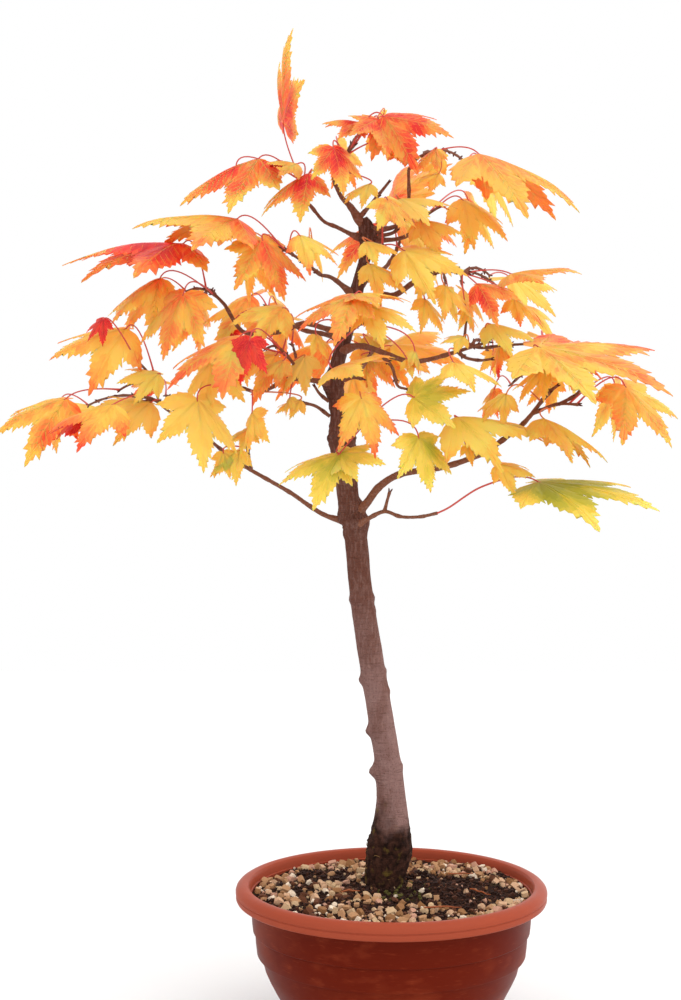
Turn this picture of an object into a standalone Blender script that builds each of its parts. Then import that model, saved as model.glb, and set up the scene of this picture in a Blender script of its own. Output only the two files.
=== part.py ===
"""A young maple grown as a bonsai in a round plastic bowl, in autumn leaf.

Metres, +Z up. The origin is the centre of the bowl's flat underside, and the tree's front faces -Y.
Places on the tree are in millimetres, as they look from the front: (across, height, toward). Across is
to the right of the bowl's axis, height is above the bowl's underside, and toward is how far the place
stands out from the bowl's axis toward the viewer. A limb's station adds its thickness.
"""

import math
import random
from dataclasses import dataclass

import bmesh
import bpy
from mathutils import Matrix, Quaternion, Vector
from mathutils.bvhtree import BVHTree

MM = 0.001
PART_NAME = "maple_bonsai"

# The bowl, in millimetres
BOWL_HEIGHT = 125.0
RIM_RADIUS = 124.0
RIM_DEPTH = 16.0
MOUTH_RADIUS = 114.0
BODY_RADIUS = 112.0
FOOT_RADIUS = 66.0
WALL = 3.5
BOWL_SIDES = 36
# Depth below the rim and radius of each step and bend on the outside of the body
BODY_PROFILE = (
    (RIM_DEPTH + 1.5, BODY_RADIUS),
    (36.5, 110.2),
    (37.5, 108.4),
    (55.0, 106.6),
    (56.5, 103.2),
    (75.0, 97.2),
    (94.0, 86.2),
    (114.0, 72.0),
)

# The soil: a gravel-covered mound that is flat where the trunk stands on it
SOIL_HEIGHT = 117.5
SOIL_EDGE_HEIGHT = 115.0
MOUND_RADIUS = 46.0

# The gap between neighbours, and the wider one that leaves keep from other masses
SEAT = 0.3
MERGE = 0.00000001
LEAF_GAP = 0.8

# The tree's front is composed for an eye at this height and distance
EYE = Vector((-40.4, -1255.0, 431.4)) * MM

# The leaf: lobe directions in degrees from the middle lobe, and reach and depth as shares of its span
LOBES = ((0, 1.0), (52, 0.84), (112, 0.52))
NOTCHES = ((27, 0.54), (82, 0.44))
HEEL = 0.05
HUB = 0.22
LEAF_THICKNESS = 0.024
LEAF_CURL = 0.2
LEAF_FOLD = 0.1
STALK_SUNK = 0.07

# Twigs and leaf stalks, three-sided, in millimetres
TWIG_SIDES = 3
TWIG_THICKNESS = 3.0
TWIG_TIP_THICKNESS = 2.0
STALK_THICKNESS = 1.5
STALK_REACH = 62.0
STALK_STEPS = 2
BUD_SPACING = 3.2
BUDS_AT_TIP = 4

# The rule for the leaves behind: each stands behind a front leaf, deeper in the crown
CROWN_MIDDLE = -45.0
CROWN_HALF_WIDTH = 300.0
CROWN_DEPTH = 205.0
REAR_SCATTER = 11.0
REAR_TURN = 40.0
REAR_SIZE = (0.72, 0.9)
SEED = 11
NUDGES = (0, 8, -8, 16, -16, 26, -26, 38, -38)
ARCHES = (0.18, 0.32, 0.06, -0.05)


@dataclass(frozen=True)
class Limb:
    """The trunk or a bough: one tapering limb through stations (across, height, toward, thickness)."""

    name: str
    parent: str
    stations: tuple
    sides: int = 6


@dataclass(frozen=True)
class Leaf:
    """A leaf as seen from the front, placed by the junction of its stalk and blade.

    Span is from the junction to the middle lobe's tip, heading is where that lobe points in degrees
    counter-clockwise from the right, toward is measured from its mass's heart, roll turns the blade's
    face from the viewer to the sky about that lobe, and lean points the lobe at the viewer.
    """

    across: float
    height: float
    span: float
    heading: float
    toward: float = 0.0
    roll: float = 30.0
    lean: float = 24.0


@dataclass(frozen=True)
class Mass:
    """One mass of foliage: a stem from its limb to its heart, its front leaves, and the count behind."""

    name: str
    parent: str
    stem: tuple
    leaves: tuple
    rear: int = 0


TRUNK = Limb(
    "trunk",
    "",
    (
        (-6, 106, -15, 31),
        (-6, 121, -15, 31),
        (-4, 135, -15, 34),
        (-1, 155, -14, 36),
        (0, 167, -13, 31),
        (0, 191, -12, 23.5),
        (-3, 223, -10, 21),
        (-16, 303, -6, 19.7),
        (-23, 349, -4, 18.4),
        (-28, 399, -2, 18),
        (-30, 415, -1, 20.5),
        (-34, 431, 0, 17.2),
        (-37, 458, 1, 17.8),
        (-39, 479, 2, 21.4),
        (-40, 497, 2, 18),
        (-44, 511, 1, 12.5),
        (-46, 523, 0, 17),
        (-44, 535, -1, 11.6),
        (-35, 567, -3, 10.6),
        (-28, 595, -4, 10.8),
        (-22, 619, -3, 8.6),
        (-18, 640, -2, 13.6),
        (-20, 648, -1, 12),
        (-23, 655, 0, 8),
    ),
    sides=10,
)

BOUGHS = (
    Limb(
        "bough_low_right",
        "trunk",
        (
            (-31, 416, 0, 10),
            (-20, 427, 5, 9.4),
            (-9, 441, 9, 8.4),
            (8, 451, 15, 7.6),
            (39, 456, 24, 6.8),
            (62, 463, 30, 6.4),
            (77, 470, 34, 6.0),
            (98, 485, 39, 5.6),
            (109, 495, 42, 5.2),
            (120, 509, 44, 4.6),
        ),
    ),
    Limb(
        "bough_thin_right",
        "trunk",
        (
            (-30, 408, 2, 6),
            (-17, 416, 14, 5),
            (-5, 421, 22, 4.2),
            (8, 417, 30, 3.8),
            (23, 417, 38, 3.6),
            (37, 420, 45, 3.8),
        ),
    ),
    Limb(
        "bough_low_left",
        "trunk",
        (
            (-32, 412, -1, 7),
            (-51, 417, -10, 5.6),
            (-65, 425, -14, 5),
            (-81, 436, -17, 4.6),
            (-109, 452, -18, 4.4),
            (-126, 462, -16, 4),
        ),
    ),
    Limb(
        "bough_knot_left",
        "trunk",
        ((-46, 523, 2, 7), (-57, 525, 10, 6), (-82, 527, 20, 5), (-98, 519, 25, 4.4), (-110, 517, 28, 4)),
    ),
    Limb(
        "bough_mid_right",
        "trunk",
        ((-41, 549, 0, 8), (-22, 553, 7, 6.6), (10, 542, 14, 5.8), (28, 542, 18, 5.2), (53, 549, 22, 4.6)),
    ),
    Limb(
        "bough_mid_left",
        "trunk",
        (
            (-37, 562, -2, 7),
            (-68, 571, -12, 5.6),
            (-83, 566, -16, 5),
            (-99, 563, -18, 4.6),
            (-119, 565, -18, 4.4),
            (-133, 586, -16, 4),
        ),
    ),
    Limb(
        "bough_high_right",
        "trunk",
        ((-29, 589, -2, 8), (-10, 594, 4, 7.4), (3, 594, 9, 7), (19, 605, 14, 5.6), (27, 610, 16, 4.6)),
    ),
    Limb(
        "bough_high_left",
        "trunk",
        ((-29, 593, -3, 6), (-46, 607, 6, 4.8), (-56, 610, 12, 4)),
    ),
    Limb(
        "bough_upper_right",
        "trunk",
        ((-18, 638, -2, 6), (0, 638, -8, 5), (10, 640, -12, 4.4), (17, 644, -15, 4)),
    ),
    Limb(
        "bough_top_right",
        "trunk",
        ((-17, 645, 0, 6), (1, 648, 4, 5), (9, 653, 5, 4.4), (14, 668, 4, 4), (14, 694, 1, 3.4)),
    ),
    Limb(
        "bough_top_left",
        "trunk",
        ((-23, 650, 0, 8), (-32, 664, 5, 7), (-40, 673, 9, 5), (-46, 686, 12, 3.6)),
    ),
    Limb(
        "bough_shoot_left",
        "trunk",
        ((-20, 638, -3, 6), (-31, 642, -6, 5), (-43, 648, -9, 4.4), (-54, 653, -12, 4), (-65, 666, -14, 3.6)),
    ),
    Limb(
        "bough_back_low",
        "trunk",
        ((-45, 521, -2, 8), (-38, 528, -24, 6.4), (-26, 532, -52, 5.4), (-20, 540, -84, 4.4)),
    ),
    Limb(
        "bough_back_left",
        "trunk",
        ((-38, 557, -3, 7), (-52, 562, -26, 5.6), (-72, 566, -58, 4.8), (-84, 575, -88, 4)),
    ),
    Limb(
        "bough_back_high",
        "trunk",
        ((-27, 600, -4, 7), (-16, 608, -24, 5.4), (-4, 616, -52, 4.8), (4, 628, -76, 4)),
    ),
)

MASSES = (
    Mass(
        "foliage_tip_left",
        "bough_shoot_left",
        ((-65, 666, -14), (-70, 680, -12), (-74, 690, -8)),
        (
            Leaf(-86, 727, 82, 83, 6, roll=72),
            Leaf(-106, 703, 75, -145, 10, roll=40),
            Leaf(-75, 699, 26, -176, 22, roll=50),
            Leaf(-66, 691, 51, -134, 30),
        ),
        rear=2,
    ),
    Mass(
        "foliage_crown",
        "bough_top_left",
        ((-46, 686, 12), (-41, 700, 16), (-29, 714, 20)),
        (
            Leaf(-10, 735, 38, -83, 8, lean=50),
            Leaf(-46, 712, 41, -77, 26),
            Leaf(-17, 683, 27, -143, 8),
        ),
        rear=3,
    ),
    Mass(
        "foliage_top_right",
        "bough_top_right",
        ((14, 694, 1), (22, 704, 4), (35, 709, 8)),
        (
            Leaf(70, 707, 91, -32, 6, roll=48),
            Leaf(36, 711, 27, -129, 16),
        ),
        rear=3,
    ),
    Mass(
        "foliage_upper_right",
        "bough_upper_right",
        ((17, 644, -15), (25, 655, -16), (38, 664, -14)),
        (
            Leaf(57, 670, 49, -42, 0),
            Leaf(7, 671, 46, -15, 24, roll=50),
            Leaf(23, 654, 41, -26, 38, roll=35),
        ),
        rear=3,
    ),
    Mass(
        "foliage_inner_top",
        "trunk",
        ((-20, 624, -3), (-14, 630, 12), (-6, 634, 26)),
        (
            Leaf(-3, 671, 34, -67, 14),
            Leaf(-20, 637, 29, -26, 20, roll=35),
            Leaf(10, 630, 55, -22, 6, roll=25),
            Leaf(-17, 619, 39, -39, 16),
        ),
        rear=2,
    ),
    Mass(
        "foliage_high_right",
        "bough_high_right",
        ((27, 610, 16), (44, 613, 18), (62, 612, 20)),
        (
            Leaf(96, 611, 54, -3, 0, roll=30),
            Leaf(69, 603, 37, -25, 20),
            Leaf(98, 591, 32, -47, 6),
            Leaf(43, 602, 34, -56, 22),
            Leaf(27, 591, 32, -63, 10),
        ),
        rear=4,
    ),
    Mass(
        "foliage_high_left",
        "bough_high_left",
        ((-56, 610, 12), (-72, 622, 14), (-88, 632, 16)),
        (
            Leaf(-123, 655, 81, -170, 0, roll=62),
            Leaf(-103, 639, 54, -73, 18),
            Leaf(-73, 642, 39, -41, 30),
        ),
        rear=3,
    ),
    Mass(
        "foliage_mid_left",
        "bough_mid_left",
        ((-133, 586, -16), (-140, 593, -14), (-149, 599, -10)),
        (
            Leaf(-166, 635, 93, -165, 0, roll=58),
            Leaf(-185, 607, 53, -135, 10),
            Leaf(-166, 595, 57, -108, 26),
        ),
        rear=3,
    ),
    Mass(
        "foliage_inner_left",
        "bough_knot_left",
        ((-70, 526, 15), (-80, 542, 28), (-92, 555, 36)),
        (
            Leaf(-121, 561, 69, -143, 16, roll=10),
            Leaf(-113, 559, 38, -104, 28),
            Leaf(-86, 584, 44, -164, 6, roll=30),
            Leaf(-86, 542, 26, -140, 8),
            Leaf(-69, 545, 37, -119, -6),
        ),
        rear=3,
    ),
    Mass(
        "foliage_knot_left",
        "bough_knot_left",
        ((-110, 517, 28), (-120, 520, 30), (-130, 521, 32)),
        (
            Leaf(-155, 511, 56, -84, 22, lean=25),
            Leaf(-111, 501, 40, -92, 0, roll=40),
            Leaf(-73, 510, 22, -152, -10),
        ),
        rear=3,
    ),
    Mass(
        "foliage_far_left",
        "bough_low_left",
        ((-126, 462, -16), (-148, 480, -14), (-170, 496, -8), (-185, 508, 0), (-189, 530, 6)),
        (
            Leaf(-212, 567, 64, -153, 6),
            Leaf(-186, 531, 33, -168, 8),
            Leaf(-260, 511, 60, -152, 4),
            Leaf(-222, 507, 55, -154, 16, roll=45),
        ),
        rear=4,
    ),
    Mass(
        "foliage_low_left",
        "bough_low_left",
        ((-112, 454, -18), (-114, 466, -8), (-117, 478, 2)),
        (
            Leaf(-121, 470, 32, -135, 12, roll=30),
            Leaf(-113, 487, 25, -141, 14),
        ),
        rear=2,
    ),
    Mass(
        "foliage_front_low",
        "trunk",
        ((-39, 480, 2), (-31, 487, 32), (-18, 492, 58)),
        (
            Leaf(-42, 467, 52, -152, 4, roll=35),
            Leaf(-24, 513, 46, -73, 18),
            Leaf(22, 481, 46, -76, 6),
            Leaf(18, 513, 45, 3, 8),
        ),
    ),
    Mass(
        "foliage_front_mid",
        "trunk",
        ((-38, 560, -2), (-33, 566, 26), (-22, 572, 50)),
        (
            Leaf(-29, 595, 55, -145, 24),
            Leaf(-21, 587, 46, -31, 4),
            Leaf(-47, 536, 49, 8, 14, roll=35),
            Leaf(-60, 563, 24, -63, 10),
        ),
    ),
    Mass(
        "foliage_mid_right",
        "bough_mid_right",
        ((53, 549, 22), (66, 553, 25), (79, 557, 28)),
        (
            Leaf(79, 571, 40, -23, 0, roll=45),
            Leaf(87, 554, 28, -93, 12),
            Leaf(50, 541, 42, -29, 10, roll=55),
        ),
        rear=3,
    ),
    Mass(
        "foliage_inner_right",
        "bough_low_right",
        ((62, 463, 30), (60, 474, 36), (60, 487, 44)),
        (
            Leaf(53, 497, 70, -17, 12, roll=50),
            Leaf(85, 459, 31, -20, 6),
        ),
        rear=2,
    ),
    Mass(
        "foliage_right",
        "bough_low_right",
        ((120, 509, 44), (126, 519, 45), (124, 535, 44)),
        (
            Leaf(118, 553, 108, -20, 10, roll=52),
            Leaf(123, 537, 36, -128, 22),
            Leaf(92, 515, 30, -133, 16, roll=25),
        ),
        rear=3,
    ),
    Mass(
        "foliage_far_right",
        "bough_low_right",
        ((112, 499, 43), (132, 507, 52), (150, 507, 58)),
        (
            Leaf(187, 522, 60, -57, 8, roll=40),
            Leaf(122, 496, 60, -37, 10, roll=50),
        ),
        rear=2,
    ),
    Mass(
        "foliage_low_right",
        "bough_thin_right",
        ((37, 420, 45), (47, 425, 48), (68, 439, 52), (88, 447, 55)),
        (Leaf(118, 445, 93, -12, 4, roll=50),),
        rear=1,
    ),
    Mass(
        "foliage_back_low",
        "bough_back_low",
        ((-20, 540, -84), (-16, 546, -100), (-14, 548, -118)),
        (
            Leaf(-20, 560, 48, -20, -14, lean=-25),
            Leaf(0, 552, 44, 20, -26, lean=-40),
            Leaf(-52, 554, 50, -160, -20, lean=-30),
            Leaf(-30, 530, 46, -100, -34, lean=-25),
        ),
        rear=1,
    ),
    Mass(
        "foliage_back_left",
        "bough_back_left",
        ((-84, 575, -88), (-92, 580, -102), (-100, 584, -116)),
        (
            Leaf(-112, 592, 50, -150, -8, lean=-25),
            Leaf(-92, 586, 46, -60, -24, lean=-35),
            Leaf(-128, 566, 46, -120, -16, lean=-20),
        ),
        rear=1,
    ),
    Mass(
        "foliage_back_high",
        "bough_back_high",
        ((4, 628, -76), (8, 638, -90), (12, 646, -102)),
        (
            Leaf(14, 660, 46, -30, -12, lean=-25),
            Leaf(-12, 650, 48, -150, -18, lean=-30),
            Leaf(20, 636, 42, -60, -30, lean=-35),
            Leaf(2, 668, 40, 70, -22, lean=-40),
        ),
        rear=1,
    ),
)


def stretch(toward):
    """How much farther from the eye a place is than the plane through the bowl's axis, as a share."""
    return (-EYE.y - toward * MM) / -EYE.y


def placed(across, height, toward):
    """The point that looks from the front to be at across and height, and stands toward the viewer."""
    return EYE + (Vector((across * MM, 0.0, height * MM)) - EYE) * stretch(toward)


def material(name, color, roughness):
    """A plain finish."""
    finish = bpy.data.materials.new(name)
    finish.use_nodes = True
    shader = finish.node_tree.nodes["Principled BSDF"]
    shader.inputs["Base Color"].default_value = (*color, 1.0)
    shader.inputs["Roughness"].default_value = roughness
    shader.inputs["Metallic"].default_value = 0.0
    finish.diffuse_color = (*color, 1.0)
    return finish


def new_object(name, mesh, collection):
    """An object that shows the mesh, in the collection."""
    piece = bpy.data.objects.new(name, mesh)
    collection.objects.link(piece)
    return piece


def mesh_from(bm, name):
    """The mesh that the bmesh holds, with its faces turned outward. The bmesh is freed."""
    bmesh.ops.recalc_face_normals(bm, faces=bm.faces[:])
    mesh = bpy.data.meshes.new(name)
    bm.to_mesh(mesh)
    bm.free()
    return mesh


def evaluated_mesh(piece):
    """The piece's mesh with its modifiers or its curve's bevel worked out."""
    return bpy.data.meshes.new_from_object(piece.evaluated_get(bpy.context.evaluated_depsgraph_get()))


def remove(piece):
    """Take a helper object out of the file."""
    bpy.data.objects.remove(piece, do_unlink=True)


def boolean(piece, operation, cutter=None, collection=None, solver="EXACT"):
    """Cut the piece by an object, or join it with all of a collection, and apply the result."""
    step = piece.modifiers.new("join", "BOOLEAN")
    step.operation = operation
    step.solver = solver
    if collection is None:
        step.object = cutter
    else:
        step.operand_type = "COLLECTION"
        step.collection = collection
    old = piece.data
    result = evaluated_mesh(piece)
    piece.modifiers.clear()
    piece.data = result
    bpy.data.meshes.remove(old)


# ---------------------------------------------------------------- bowl and soil


def turned(name, profile, collection):
    """A closed round piece from (radius, height) points in millimetres that run down its outer side."""
    bm = bmesh.new()
    points = [bm.verts.new((radius * MM, 0.0, height * MM)) for radius, height in profile]
    for start, end in zip(points, points[1:], strict=False):
        bm.edges.new((start, end))
    mesh = bpy.data.meshes.new(name)
    bm.to_mesh(mesh)
    bm.free()
    piece = new_object(name, mesh, collection)
    screw = piece.modifiers.new("turn", "SCREW")
    screw.steps = BOWL_SIDES
    screw.render_steps = BOWL_SIDES
    screw.use_merge_vertices = True
    screw.merge_threshold = 0.0001
    return piece


def body_radius(depth):
    """The bowl's outside radius at a depth below its rim, in millimetres."""
    stations = ((0.0, BODY_RADIUS), *BODY_PROFILE, (BOWL_HEIGHT, FOOT_RADIUS))
    for (upper, wide), (lower, narrow) in zip(stations, stations[1:], strict=False):
        if depth <= lower:
            return wide + (narrow - wide) * (depth - upper) / (lower - upper)
    return FOOT_RADIUS


def inside_profile():
    """The bowl's inside, from its mouth down to its floor, as (radius, height)."""
    depths = (26.0, 56.5, 92.0, BOWL_HEIGHT - WALL - 1.0)
    return [(body_radius(depth) - WALL, BOWL_HEIGHT - depth) for depth in depths]


def build_bowl(collection):
    """The bowl: a rolled rim over a stepped body, with a flat underside."""
    profile = [
        (0.0, inside_profile()[-1][1]),
        *reversed(inside_profile()),
        (MOUTH_RADIUS, BOWL_HEIGHT - 3.0),
        (MOUTH_RADIUS + 4.0, BOWL_HEIGHT),
        (RIM_RADIUS - 3.0, BOWL_HEIGHT),
        (RIM_RADIUS, BOWL_HEIGHT - 4.0),
        (RIM_RADIUS - 0.8, BOWL_HEIGHT - RIM_DEPTH),
        *((radius, BOWL_HEIGHT - depth) for depth, radius in BODY_PROFILE),
        (FOOT_RADIUS, 0.0),
        (0.0, 0.0),
    ]
    bowl = turned("bowl", profile, collection)
    bowl.data.materials.append(material("terracotta_plastic", (0.42, 0.11, 0.055), 0.42))


def build_soil(collection):
    """The soil, which fills the bowl to just under its rim and rises a little round the trunk."""
    inside = [(radius - SEAT, height) for radius, height in inside_profile()]
    top_radius = inside[0][0]
    floor = inside[-1][1] + SEAT
    profile = [
        (0.0, SOIL_HEIGHT),
        (MOUND_RADIUS, SOIL_HEIGHT),
        (top_radius, SOIL_EDGE_HEIGHT),
        *inside[:-1],
        (inside[-1][0], floor),
        (0.0, floor),
    ]
    soil = turned("soil", profile, collection)
    soil.data.materials.append(material("gravel_soil", (0.30, 0.22, 0.16), 0.95))


# ---------------------------------------------------------------- limbs


def limb_curve(limb, extra):
    """The limb as a round-bevelled curve, thickened all round and at its tip by extra millimetres."""
    curve = bpy.data.curves.new(limb.name, "CURVE")
    curve.dimensions = "3D"
    curve.bevel_depth = MM
    curve.bevel_resolution = (limb.sides - 4) // 2
    curve.use_fill_caps = True
    points = [placed(*station[:3]) for station in limb.stations]
    points[-1] += (points[-1] - points[-2]).normalized() * extra * MM
    spline = curve.splines.new("POLY")
    spline.points.add(len(points) - 1)
    for knot, point, station in zip(spline.points, points, limb.stations, strict=True):
        knot.co = (*point, 1.0)
        knot.radius = station[3] / 2 * stretch(station[2]) + extra
    return curve


def limb_piece(limb, collection, extra=0.0):
    """The limb as a closed mesh object."""
    guide = new_object(limb.name, limb_curve(limb, extra), collection)
    bpy.context.view_layer.update()
    mesh = evaluated_mesh(guide)
    place = guide.matrix_world.copy()
    remove(guide)
    bm = bmesh.new()
    bm.from_mesh(mesh)
    bpy.data.meshes.remove(mesh)
    bmesh.ops.remove_doubles(bm, verts=bm.verts[:], dist=0.00001)
    piece = new_object(limb.name, mesh_from(bm, limb.name), collection)
    piece.matrix_world = place
    return piece


def build_limbs(collection, cutters):
    """The trunk, cut flat at the soil, and the boughs, each seated against what carries it."""
    bark = material("bark", (0.16, 0.11, 0.10), 0.85)
    for limb in (TRUNK, *BOUGHS):
        piece = limb_piece(limb, collection)
        if limb.parent:
            boolean(piece, "DIFFERENCE", cutter=cutters.objects["around_" + limb.parent])
        else:
            stand_on_soil(piece)
        piece.data.materials.clear()
        piece.data.materials.append(bark)
        cutter = limb_piece(limb, cutters, SEAT)
        cutter.name = "around_" + limb.name
        cutter.hide_render = True
        cutter.display_type = "WIRE"


def stand_on_soil(trunk):
    """Cut the trunk flat just above the soil."""
    bm = bmesh.new()
    bm.from_mesh(trunk.data)
    ground = Vector((0.0, 0.0, (SOIL_HEIGHT + SEAT) * MM))
    geometry = bm.verts[:] + bm.edges[:] + bm.faces[:]
    bmesh.ops.bisect_plane(bm, geom=geometry, plane_co=ground, plane_no=(0, 0, 1), clear_inner=True)
    bmesh.ops.holes_fill(bm, edges=[edge for edge in bm.edges if edge.is_boundary])
    bmesh.ops.recalc_face_normals(bm, faces=bm.faces[:])
    bm.to_mesh(trunk.data)
    bm.free()


# ---------------------------------------------------------------- twigs and leaves


def twig_bmesh(path, thick, thin):
    """A three-sided tapering twig along a path of points, grown from its foot by extrusion."""
    bm = bmesh.new()
    ways = [(after - before).normalized() for before, after in zip(path, path[1:], strict=False)]
    ways.append(ways[-1])
    upright = Vector((0, 0, 1)).rotation_difference(ways[0]).to_matrix().to_4x4()
    foot = Matrix.Translation(path[0]) @ upright
    bmesh.ops.create_circle(bm, cap_ends=True, segments=TWIG_SIDES, radius=thick / 2 * MM, matrix=foot)
    end = bm.faces[:][0]
    last = len(path) - 1
    for step in range(1, last + 1):
        grown = bmesh.ops.extrude_face_region(bm, geom=[end])["geom"]
        if step > 1:
            bmesh.ops.delete(bm, geom=[end], context="FACES_ONLY")
        end = next(item for item in grown if isinstance(item, bmesh.types.BMFace))
        ring = [item for item in grown if isinstance(item, bmesh.types.BMVert)]
        turn = ways[step - 1].rotation_difference(ways[step]) if step < last else Quaternion()
        shrink = (thick + (thin - thick) * step / last) / (thick + (thin - thick) * (step - 1) / last)
        move = Matrix.Translation(path[step]) @ turn.to_matrix().to_4x4() @ Matrix.Scale(shrink, 4)
        bmesh.ops.transform(bm, matrix=move @ Matrix.Translation(-path[step - 1]), verts=ring)
    bmesh.ops.recalc_face_normals(bm, faces=bm.faces[:])
    return bm


def blade_frame(leaf, toward):
    """Where a leaf's blade is and how it lies: its middle lobe is local +X and its face is local +Z."""
    heading, lean = math.radians(leaf.heading), math.radians(leaf.lean)
    flat = math.cos(lean)
    lobe = Vector((math.cos(heading) * flat, -math.sin(lean), math.sin(heading) * flat))
    face = Vector((0, -1, 0)) - lobe * -lobe.y
    skyward = math.copysign(1.0, -lobe.x)
    face = Quaternion(lobe, skyward * math.radians(leaf.roll)) @ face.normalized()
    frame = Matrix((lobe, face.cross(lobe), face)).transposed().to_4x4()
    return Matrix.Translation(placed(leaf.across, leaf.height, toward)) @ frame


def blade_outline():
    """The blade's outline as (angle, reach) round its junction, from one side of its heel to the other."""
    half = [LOBES[0], NOTCHES[0], LOBES[1], NOTCHES[1], LOBES[2]]
    left = [(-angle, reach) for angle, reach in reversed(half[1:])]
    return [(180, HEEL), *left, *half]


def true_span(leaf, toward):
    """The middle lobe's real length in metres, from the length that shows from the front."""
    return leaf.span * MM * stretch(toward) / math.cos(math.radians(leaf.lean))


def blade_bmesh(leaf, toward, padding):
    """A five-lobed blade, curled down at its tips: thickest at its hub and thin along its edge."""
    span = true_span(leaf, toward)
    half_thick = span * LEAF_THICKNESS / 2 + padding * MM
    bm = bmesh.new()
    rim = []
    for angle, reach in blade_outline():
        turn = math.radians(angle)
        fold = LEAF_FOLD * reach if (abs(angle), reach) in NOTCHES else 0.0
        sag = -LEAF_CURL * reach**2 - fold
        rim.append(bm.verts.new(Vector((math.cos(turn) * reach, math.sin(turn) * reach, sag)) * span))
    for side in (1, -1):
        plate = bm.faces.new(rim)
        hub = bmesh.ops.poke(bm, faces=[plate])["verts"][0]
        hub.co = (HUB * span, 0.0, side * half_thick)
    bmesh.ops.transform(bm, matrix=blade_frame(leaf, toward), verts=bm.verts[:])
    bmesh.ops.recalc_face_normals(bm, faces=bm.faces[:])
    return bm


def stalk_path(start, leaf, toward, arch):
    """An arching leaf stalk that arrives along the middle lobe and runs on under it a little."""
    frame = blade_frame(leaf, toward)
    junction, lobe = frame.translation, frame.to_3x3().col[0]
    length = (junction - start).length
    bend = junction - lobe * length * 0.4 + Vector((0, 0, arch * length))
    path = []
    for step in range(STALK_STEPS + 1):
        along = step / STALK_STEPS
        path.append(start.lerp(bend, along).lerp(bend.lerp(junction, along), along))
    path.append(junction + lobe * STALK_SUNK * true_span(leaf, toward))
    return path


def nearest_on(path, point):
    """The place on a path of points that is nearest to the point."""
    best = path[-1]
    for start, end in zip(path, path[1:], strict=False):
        way = end - start
        share = min(1.0, max(0.0, (point - start).dot(way) / way.length_squared))
        spot = start + way * share
        if (spot - point).length < (best - point).length:
            best = spot
    return best


class Space:
    """What limbs and foliage already fill, so that each mass keeps to its own space."""

    def __init__(self):
        self.filled = []

    def add(self, owner, bm):
        """Note a piece of the owner's."""
        self.filled.append((owner, BVHTree.FromBMesh(bm)))

    def is_clear(self, bm, own):
        """Whether the shape touches nothing but pieces of the owners that it may touch."""
        tree = BVHTree.FromBMesh(bm)
        return not any(tree.overlap(other) for owner, other in self.filled if owner not in own)


class Foliage:
    """One mass of foliage while it grows: its stem, and the twigs, stalks and blades to be fused on."""

    def __init__(self, mass, space, collection):
        self.mass = mass
        self.blades = mass.name + "_blades"
        self.space = space
        self.grown = 0
        self.loose = bpy.data.collections.new(mass.name + "_loose")
        bpy.context.scene.collection.children.link(self.loose)
        self.path = [placed(*station) for station in mass.stem]
        stem = twig_bmesh(self.path, TWIG_THICKNESS, TWIG_TIP_THICKNESS)
        space.add(mass.name, stem)
        self.piece = new_object(mass.name, mesh_from(stem, mass.name), collection)

    def grow(self, leaf):
        """Fuse on a leaf and its stalk, at the first place where they touch no other mass or limb."""
        heart = self.mass.stem[-1][2]
        for may_touch in ({self.mass.name}, {self.mass.name, self.blades}):
            for nudge in NUDGES:
                for arch in ARCHES:
                    if self.try_leaf(leaf, heart + leaf.toward + nudge, arch, may_touch):
                        return True
        return False

    def try_leaf(self, leaf, toward, arch, may_touch):
        """Grow the leaf with this arch to its stalk if there is room, and say whether there was."""
        junction = placed(leaf.across, leaf.height, toward)
        start = self.bud_for(junction)
        twig = self.side_twig(start, junction)
        if twig:
            start = twig[-1]
        stalk = stalk_path(start, leaf, toward, arch)
        shapes = [
            (self.blades, lambda padding: blade_bmesh(leaf, toward, padding)),
            (self.mass.name, lambda padding: self.stalk_bmesh(stalk, STALK_THICKNESS + 2 * padding)),
        ]
        if twig:
            thickness = TWIG_TIP_THICKNESS
            shapes.append((self.mass.name, lambda padding: self.stalk_bmesh(twig, thickness + 2 * padding)))
        for _, make in shapes:
            padded = make(LEAF_GAP)
            clear = self.space.is_clear(padded, may_touch)
            padded.free()
            if not clear:
                return False
        for owner, make in shapes:
            shape = make(0.0)
            self.space.add(owner, shape)
            new_object(self.mass.name + "_part", mesh_from(shape, self.mass.name), self.loose)
        self.grown += 1
        return True

    def bud_for(self, junction):
        """The place on the stem that a leaf grows from. Those at its tip keep a little apart."""
        spot = nearest_on(self.path, junction)
        tip = self.path[-1]
        back = (self.path[-2] - tip).normalized() * BUD_SPACING * MM
        if (spot - tip).length < back.length:
            spot = tip + back * (0.5 + self.grown % BUDS_AT_TIP)
        return spot

    @staticmethod
    def stalk_bmesh(path, thickness):
        """A stalk or side twig of nearly even thickness."""
        return twig_bmesh(path, thickness, thickness * 0.85)

    @staticmethod
    def side_twig(start, junction):
        """A side twig that brings the stalk's foot within reach of its leaf, where the stem is too far."""
        way = junction - start
        if way.length <= STALK_REACH * MM:
            return None
        end = start + way * (1 - STALK_REACH * 0.7 * MM / way.length)
        middle = start.lerp(end, 0.5) + Vector((0, 0, way.length * 0.05))
        return [start, middle, end]

    def fuse(self, cutter):
        """Join everything into one solid, clear of the limb that carries it."""
        boolean(self.piece, "DIFFERENCE", cutter=cutter)
        stem = self.piece.data.copy()
        boolean(self.piece, "UNION", collection=self.loose)
        if open_edges(self.piece.data):
            self.piece.data = stem
            boolean(self.piece, "UNION", collection=self.loose, solver="MANIFOLD")
        keep_main_body(self.piece)
        for part in list(self.loose.objects):
            remove(part)
        bpy.data.collections.remove(self.loose)


def open_edges(mesh):
    """How many edges don't join exactly two faces."""
    bm = bmesh.new()
    bm.from_mesh(mesh)
    count = sum(1 for edge in bm.edges if len(edge.link_faces) != 2)
    bm.free()
    return count


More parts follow.
